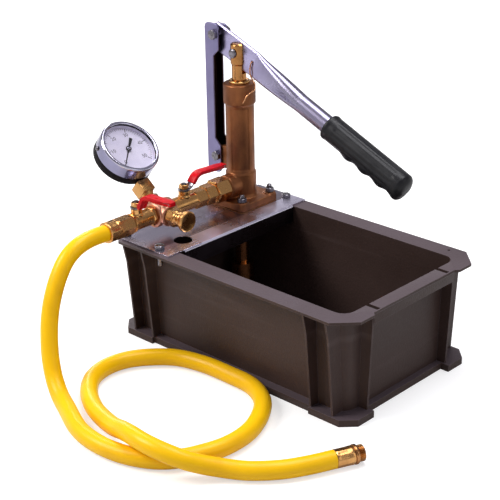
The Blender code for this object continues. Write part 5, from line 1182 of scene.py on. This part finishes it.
def buildHandle(name):
    spec = handle[name]
    along = Vector(spec["along"])
    above = upright(pumpSpot.x, valve[name]["stem"])
    plane = aimed(above.translation, (-along.y, along.x, 0), along)
    flip = -1 if (plane.to_3x3() @ Vector((0, 1, 0))).z < 0 else 1
    half = handle["width"] / 2
    line = handleLine(spec, 8)
    outline = [(x, z * flip) for x, z in ribbon(line, handle["strip"])]
    strip = addPiece(name + "ValveHandle", slab(outline, -half, half), plane, "zinc")
    low, high = handle["height"], handle["height"] + handle["strip"]
    unite(strip, bar(handle["ring"], low, high), above)
    bored(strip, bar(handle["hole"], low - 0.002, high + 0.002), above)
    soften(strip, handle["edge"], 2)
    carry(settle(strip), name + "_valve_turning", name + "_valve_handle")

    bent, tip = line[spec["covered"]:-1], line[-1]
    bent[0] = bent[0].lerp(bent[1], spec["bare"])
    reach = tip + (tip - bent[-1]).normalized() * 2 * handle["sleeve"] - bent[-1]
    covered = bent + [bent[-1] + reach * share for share in handle["tipShares"]]
    skin = [(x, z * flip) for x, z in ribbon(covered, handle["strip"] + 2 * handle["sleeve"] + 2 * play)]
    wide = half + handle["sleeve"] + play
    bm = slab(skin, -wide, wide)
    end = Vector((covered[-1].x, covered[-1].y * flip))
    for vert in bm.verts:
        near = max(0.0, 1 - (vert.co.xy - end).length / handle["tipRound"])
        vert.co.z *= math.sqrt(1 - near * near)
    sleeve = addPiece(name + "ValveSleeve", bm, plane, "red", math.radians(50))
    soften(sleeve, handle["sleeveEdge"], 5, 50)
    carry(settle(sleeve, math.radians(50)), name + "_valve_turning", name + "_valve_sleeve")

    place = above @ Matrix.Rotation(handle["nutTurn"], 4, 'Z')
    obj = nut(name + "StemNut", *handle["nut"], place, "goldBrass", bore=handle["hole"])
    carry(obj, name + "_valve_turning", name + "_valve_stem_nut")


manifold = {
    "back": -0.0147, "front": 0.0132, "radius": 0.0150, "edge": 0.0012,
    # radius and reach of each branch, and the radius of its socket
    "relief": (0.0128, 0.0175, 0.0073), "gauge": (0.0095, 0.0215, 0.0055),
    "bore": 0.004, "branchBore": 0.0028, "socket": 0.0088, "socketDepth": 0.009, "voxel": 0.00045,
}


gauge = {
    "slope": 38.5, "reach": 0.0795, "step": 0.020, "radius": 0.0362, "front": 0.0070, "depth": 0.0290,
    "shell": 0.0009, "backRing": 0.0120, "neck": 0.0052, "lip": 0.0046, "lipThick": 0.0013, "wall": 0.0022,
    "window": 0.0022, "dialTop": -0.0006, "dialThick": 0.0012, "arbor": 0.0015,
    "screwTurn": 243, "screwRise": 0.0039, "screwHead": 0.0030, "screw": 0.0015, "shadedSideDepth": 0.0024,
    "blockHalf": 0.0086, "blockEnd": 0.0520, "neckStart": 0.020,
}
dialMarks = {
    "numbers": ["0", "10", "20", "30", "40", "50"], "zero": -45, "sweep": 270, "minor": 5,
    "size": 0.0068, "radius": 0.0205, "thick": 0.00006, "lift": 0.00004,
    "tickOuter": 0.0298, "tickLong": 0.0053, "tickShort": 0.0026, "tickWide": 0.0009, "tickFine": 0.00045,
}
pointerShape = {
    "lift": 0.0012, "hub": 0.0034, "cap": 0.0022, "hubHeight": 0.0010, "capHeight": 0.0014,
    "needle": [(0, 0.0009), (-0.0165, 0.0020), (-0.0165, -0.0020), (0, -0.0009),
               (0.0262, -0.0003), (0.0262, 0.0003)],
    "needleHeights": (0.0001, 0.0007), "arbor": 0.0012, "arborDepth": 0.003,
}
gaugeTilt = math.radians(gauge["slope"])
gaugeOut = Vector((-math.cos(gaugeTilt), 0, math.sin(gaugeTilt)))
gaugeNormal = Vector((math.sin(gaugeTilt), 0, math.cos(gaugeTilt)))
gaugeFoot = Vector((pumpSpot.x, manifoldY, trainHeight))
gaugeHub = gaugeFoot + gaugeOut * gauge["reach"] + gaugeNormal * gauge["step"]
gaugePlace = aimed(gaugeHub, gaugeNormal, -gaugeOut)


def buildManifold():
    m = manifold
    back, front, radius, edge = m["back"], m["front"], m["radius"], m["edge"]
    place = onTrain(manifoldY)
    run = [(0, back), (radius - edge, back), (radius, back + edge),
           (radius, front - edge), (radius - edge, front), (0, front)]
    parts = [(spun(run), place)]
    branches = {key: aimed(gaugeFoot, axis, (0, 1, 0))
                for key, axis in (("relief", (1, 0, 0)), ("gauge", gaugeOut))}
    for key, branch in branches.items():
        wide, reach = m[key][:2]
        stub = [(0, 0), (wide, 0), (wide, reach - edge), (wide - edge, reach), (0, reach)]
        parts.append((spun(stub), branch))
    obj = joined("manifold", parts, "manifold")
    cast(obj, m["voxel"], 6)
    socket, bore, depth = m["socket"], m["bore"], m["socketDepth"]
    bored(obj, [(0, -0.03), (socket, -0.03), (socket, back + depth), (bore, back + depth),
                (bore, front - depth), (socket, front - depth), (socket, 0.02), (0, 0.02)], place)
    bore = m["branchBore"]
    for key, branch in branches.items():
        reach, socket = m[key][1:]
        bored(obj, [(0, 0.002), (bore, 0.002), (bore, reach - depth), (socket, reach - depth),
                    (socket, reach + 0.003), (0, reach + 0.003)], branch)
    carry(settle(obj, math.radians(45)), "stand", "manifold")


relief = {
    "flats": 0.0195, "hex": 0.0105, "length": 0.0200, "collar": 0.0094, "waist": 0.0082,
    "stub": 0.007, "stubReach": 0.0087, "bore": 0.0033,
    "knob": 0.0122, "knobLength": 0.0062, "gap": 0.0022, "hub": 0.0075, "stem": 0.003,
    "rim": 0.0012, "dish": 0.0004, "knurls": 48, "knurl": 0.010,
}


def buildRelief():
    r = relief
    start = manifold["relief"][1] + play
    end = start + r["length"]
    place = aimed(gaugeFoot, (1, 0, 0), (0, 0, 1))
    obj = nut("reliefBody", r["flats"], start, start + r["hex"], place, "goldBrass")
    collar, waist = r["collar"], r["waist"]
    barrel = [(0, start + 0.008), (collar, start + 0.008), (collar, start + 0.0125), (waist, start + 0.0135),
              (waist, end - 0.0045), (collar, end - 0.0035), (collar, end), (0, end)]
    unite(obj, eased(barrel, 0.0005), place, fineSteps)
    unite(obj, bar(r["stub"], start - r["stubReach"], start + 0.001), place)
    bored(obj, bar(r["bore"], start - 0.011, end + 0.002), place)
    carry(settle(obj), "stand", "relief_valve_body")

    low = end + r["gap"]
    high = low + r["knobLength"]
    radius, hub, stem, rim = r["knob"], r["hub"], r["stem"], r["rim"]
    face = high - r["dish"]
    knob = [(0, start + play), (stem, start + play), (stem, end + play), (hub, end + play), (hub, low),
            (radius - rim, low), (radius, low + rim), (radius, high - rim), (radius - rim, high),
            (radius - rim - 0.0010, face), (0, face)]
    bm = spun(eased(knob, 0.0004), 4 * r["knurls"])
    for vert in bm.verts:
        if vert.co.xy.length > radius - 0.0004:
            turn = math.atan2(vert.co.y, vert.co.x) * r["knurls"]
            vert.co.xy = vert.co.xy * (1 - r["knurl"] * (0.5 + 0.5 * math.cos(turn)))
    carry(addPiece("reliefKnob", bm, place, "brass", math.radians(45)), "relief_knob", "relief_knob")


def buildGauge():
    g = gauge
    front, back = g["front"], g["front"] - g["depth"]
    radius, inside = g["radius"], g["radius"] - g["shell"]
    shellBack, lip, lipBack = back + g["backRing"], radius - g["lip"], front - g["lipThick"]
    shell = [(inside, shellBack), (radius, shellBack), (radius, front - 0.0030), (radius, front - 0.0018),
             (radius - 0.0016, front), (lip + 0.0008, front - 0.0002), (lip, front - 0.0010),
             (lip, lipBack), (inside, lipBack)]
    bm = spun(eased(shell, 0.0007, True), 160, True)
    bezel = addPiece("gaugeBezel", bm, gaugePlace, "bezel", math.radians(55))
    top = lipBack - play
    low = top - g["window"]
    bm = spun(eased(bar(inside - play, low, top), 0.0003), 128)
    window = addPiece("gaugeWindow", bm, gaugePlace, "glass")
    caseTop, wall, thick = low - play, inside - play, g["wall"]
    hollow = wall - thick
    case = [(0, back), (radius - 0.0030, back), (radius, back + 0.0026), (radius, shellBack - play),
            (wall, shellBack - play), (wall, caseTop), (hollow, caseTop), (hollow, back + thick),
            (0, back + thick)]
    bm = spun(eased(case, 0.0006), 160)
    shellCase = addPiece("gaugeCase", bm, gaugePlace, "black", math.radians(55))
    stem = aimed(gaugeFoot + gaugeOut * g["reach"], -gaugeOut, (0, 1, 0))
    for part in (shellCase, bezel):
        bored(part, bar(g["neck"] + play, radius / 2, radius + 0.003), stem)
        settle(part, math.radians(55))
    # painted shade: the bezel's side gets a darker copy of the chrome of its face
    bezel.data.materials.append(look["bezelShadedSide"])
    for face in bezel.data.polygons:
        if (gaugePlace.inverted() @ face.center).z < front - g["shadedSideDepth"]:
            face.material_index = 1
    carry(bezel, "stand", "gauge_bezel")
    carry(window, "stand", "gauge_window")
    carry(shellCase, "stand", "gauge_case")

    dialTop, wide, rim, hole = g["dialTop"], hollow - 0.0006, caseTop - play, g["arbor"]
    under = dialTop - g["dialThick"]
    dial = [(hole, under), (wide, under), (wide, rim), (wide - 0.0006, rim), (wide - 0.0008, dialTop),
            (hole, dialTop)]
    bm = spun(eased(dial, 0.0002, True), 128, True)
    carry(addPiece("gaugeDial", bm, gaugePlace, "dial"), "stand", "gauge_dial")
    buildDialPrint(dialTop)
    buildPointer(dialTop)
    buildSocket(stem, radius)

    turn = Matrix.Rotation(math.radians(g["screwTurn"]), 4, 'Z')
    side = (gaugePlace @ turn).to_3x3() @ Vector((1, 0, 0))
    spot = gaugeHub + gaugeNormal * (shellBack + g["screwRise"])
    thin, head = g["screw"], g["screwHead"]
    cap = [(0, radius - 0.0011), (thin, radius - 0.0011), (thin, radius + play), (head, radius + play),
           (head, radius + 0.0009), (head - 0.0008, radius + 0.0018), (0, radius + 0.0021)]
    bm = spun(eased(cap, 0.0003), midSteps)
    screw = addPiece("caseScrew", bm, aimed(spot, side, gaugeNormal), "zinc", math.radians(50))
    carry(screw, "stand", "gauge_case_screw")


def buildDialPrint(dialTop):
    d = dialMarks
    level = dialTop + d["lift"]
    bm = bmesh.new()
    marks = (len(d["numbers"]) - 1) * d["minor"] * 2
    for i in range(marks + 1):
        long = i % (d["minor"] * 2) == 0
        middle = i % d["minor"] == 0
        length = d["tickLong"] if long else d["tickShort"] * (1.3 if middle else 0.8)
        wide = d["tickWide"] if long else d["tickFine"]
        turn = math.radians(d["zero"] - d["sweep"] * i / marks)
        made = bmesh.ops.create_cube(bm, size=1)["verts"]
        bmesh.ops.scale(bm, verts=made, vec=(length, wide, d["thick"]))
        bmesh.ops.translate(bm, verts=made, vec=(d["tickOuter"] - length / 2, 0, level))
        bmesh.ops.rotate(bm, verts=made, cent=(0, 0, 0), matrix=Matrix.Rotation(turn, 3, 'Z'))
    for i, text in enumerate(d["numbers"]):
        turn = math.radians(d["zero"] - d["sweep"] * i / (len(d["numbers"]) - 1))
        curve = bpy.data.curves.new("number", 'FONT')
        curve.body = text
        curve.size = d["size"]
        curve.align_x = 'CENTER'
        curve.align_y = 'CENTER'
        curve.extrude = d["thick"] / 2
        curve.resolution_u = 3
        obj = bpy.data.objects.new("number", curve)
        mesh = bpy.data.meshes.new_from_object(obj)
        # the dial's top is away from the stem
        across, rise = Vector((0, 1, 0)), Vector((-1, 0, 0))
        place = Matrix((across, rise, Vector((0, 0, 1)))).transposed().to_4x4()
        place.translation = (d["radius"] * math.cos(turn), d["radius"] * math.sin(turn), level)
        mesh.transform(place)
        bm.from_mesh(mesh)
        bpy.data.meshes.remove(mesh)
        bpy.data.objects.remove(obj)
        bpy.data.curves.remove(curve)
    obj = addPiece("dialPrint", bm, gaugePlace, "ink")
    carry(obj, "stand")


def buildPointer(dialTop):
    p = pointerShape
    low = dialTop + p["lift"]
    hub, cap, top = p["hub"], p["cap"], low + p["capHeight"]
    profile = [(0, low), (hub, low), (hub, low + p["hubHeight"]), (cap, top), (0, top)]
    bm = spun(eased(profile, 0.0003), midSteps)
    pointer = addPiece("gaugePointer", bm, gaugePlace, "black", math.radians(50))
    turn = gaugePlace @ Matrix.Rotation(math.radians(dialMarks["zero"]), 4, 'Z')
    heights = [low + height for height in p["needleHeights"]]
    combine(pointer, addPiece("needle", slab(p["needle"], *heights), turn, None), 'UNION')
    unite(pointer, bar(p["arbor"], dialTop - p["arborDepth"], low + 0.0004), gaugePlace)
    settle(pointer)
    # the hub's cap is bright
    pointer.data.materials.append(look["bezel"])
    for face in pointer.data.polygons:
        spot = gaugePlace.inverted() @ face.center
        if spot.z > low + p["hubHeight"] + 0.0001 and spot.xy.length < cap + 0.0002:
            face.material_index = 1
    carry(pointer, "pointer", "gauge_pointer")


def buildSocket(stem, radius):
    half, high = gauge["blockHalf"], gauge["blockEnd"]
    corners = [(half, half), (-half, half), (-half, -half), (half, -half)]
    block = addPiece("gaugeSocket", slab(corners, radius + play, high), stem, "goldBrass")
    soften(block, 0.0007, 3)
    bottom = gauge["reach"] - manifold["gauge"][1] + 0.0087
    unite(block, bar(gauge["neck"], gauge["neckStart"], bottom), stem)
    taper = [(0, high - 0.001), (half - 0.0004, high - 0.001), (half - 0.0006, high + 0.0010),
             (0.0054, high + 0.0052), (0, high + 0.0052)]
    unite(block, eased(taper, 0.0006), stem)
    carry(settle(block), "stand", "gauge_socket")


adapter = {"flats": 0.0205, "start": -0.1175, "end": -0.1385, "bore": 0.0028,
           "plug": 0.0072, "plugEnd": -0.0023, "spur": 0.0055, "spurReach": 0.016}


def buildAdapter():
    a = adapter
    length = a["start"] - a["end"]
    place = hexOnTrain(a["start"])
    obj = nut("hoseAdapter", a["flats"], 0, length, place, "brass", bore=a["bore"])
    unite(obj, bar(a["plug"], a["plugEnd"], 0.0005, a["bore"]), place, closed=True)
    unite(obj, bar(a["spur"], length - 0.0005, length + a["spurReach"], a["bore"]), place, closed=True)
    carry(settle(obj), "stand", "hose_adapter")


buildPortFittings()
for valveName in ("pump", "hose"):
    buildValveBody(valveName)
    buildHandle(valveName)
print("valves made")
buildManifold()
buildRelief()
buildAdapter()
print("manifold made")
buildGauge()
print("gauge made")


# studio

studio = {
    # lamps: place, aim, width, height, power, colour
    "keyLamp": ((-1.3, -1.5, 1.9), (-0.1, 0, 0.15), 1.1, 1.1, 50, (1.0, 0.98, 0.96)),
    "topLamp": ((0.1, 0.3, 2.1), (0, 0, 0.1), 1.3, 0.9, 29, (0.97, 0.97, 1.0)),
    "sideLamp": ((1.9, 0.3, 1.1), (0, 0, 0.15), 0.6, 1.2, 3, (0.96, 0.97, 1.0)),
    "stripLamp": ((-1.4, 0.6, 1.0), (-0.13, 0, 0.2), 0.3, 1.5, 8, (1.0, 0.98, 0.97)),
    "backdrop": (1.0, 1.0, 1.0, 1),
    "fill": (0.30, 0.29, 0.31, 1),       # lights matt surfaces from all round
    "ceiling": (0.28, 0.27, 0.30, 1),    # what metal shows above the white backdrop
    "backdropTop": (0.10, 0.30),         # sines of the heights over which the backdrop fades
    "floor": (0.68, 0.68, 0.68),
    "floorLift": 0.56,                   # added to the lit floor for the camera
    "floorShine": 0.12,                  # and in metal and glass
    "floorSize": 30.0,
}


def rays(tree):
    # 1 for camera rays, and 1 for the rays by which metal and glass show the background
    path = tree.nodes.new("ShaderNodeLightPath").outputs
    mirrored = makeNode(tree, "ShaderNodeMath", {"operation": 'MAXIMUM'},
                        {0: path["Is Glossy Ray"], 1: path["Is Transmission Ray"]})
    return path["Is Camera Ray"], mirrored.outputs[0]


def makeLamp(name, place, aim, width, height, power, colour):
    lamp = bpy.data.lights.new(name, 'AREA')
    lamp.shape = 'RECTANGLE'
    lamp.size = width
    lamp.size_y = height
    lamp.energy = power
    lamp.color = colour
    obj = bpy.data.objects.new(name, lamp)
    turn = (Vector(place) - Vector(aim)).to_track_quat('Z', 'Y').to_matrix().to_4x4()
    obj.matrix_world = Matrix.Translation(place) @ turn
    bpy.context.scene.collection.objects.link(obj)


def makeWorld():
    world = bpy.data.worlds.new("studio")
    bpy.context.scene.world = world
    world.use_nodes = True
    tree = world.node_tree
    camera, mirrored = rays(tree)
    direction = tree.nodes.new("ShaderNodeTexCoord").outputs["Generated"]
    height = makeNode(tree, "ShaderNodeSeparateXYZ", None, {0: direction}).outputs[2]
    low, high = studio["backdropTop"]
    rise = makeNode(tree, "ShaderNodeMapRange", {"interpolation_type": 'SMOOTHSTEP'},
                    {"Value": height, "From Min": low, "From Max": high}).outputs[0]
    room = blend(tree, rise, studio["backdrop"], studio["ceiling"])
    lit = blend(tree, mirrored, studio["fill"], room)
    seen = blend(tree, camera, lit, studio["backdrop"])
    tree.links.new(seen, tree.nodes["Background"].inputs["Color"])


def makeFloor():
    bm = bmesh.new()
    bmesh.ops.create_grid(bm, x_segments=1, y_segments=1, size=studio["floorSize"] / 2)
    floor = addPiece("floor", bm, Matrix(), None)
    f = Finish("floor", studio["floor"], 0.0, 0.9, Emission_Color=studio["backdrop"])
    camera, mirrored = rays(f.tree)
    shine = f.node("ShaderNodeMath", {"operation": 'MULTIPLY'}, {0: mirrored, 1: studio["floorShine"]})
    lift = f.node("ShaderNodeMath", {"operation": 'MULTIPLY_ADD'},
                  {0: camera, 1: studio["floorLift"], 2: shine.outputs[0]})
    f.feed("Emission Strength", lift.outputs[0])
    floor.data.materials.append(f.material)


def makeStudio():
    for name, spec in studio.items():
        if name.endswith("Lamp"):
            makeLamp(name, *spec)
    makeWorld()
    makeFloor()
    bpy.context.scene.view_settings.view_transform = 'Standard'


makeStudio()
print("studio lit")
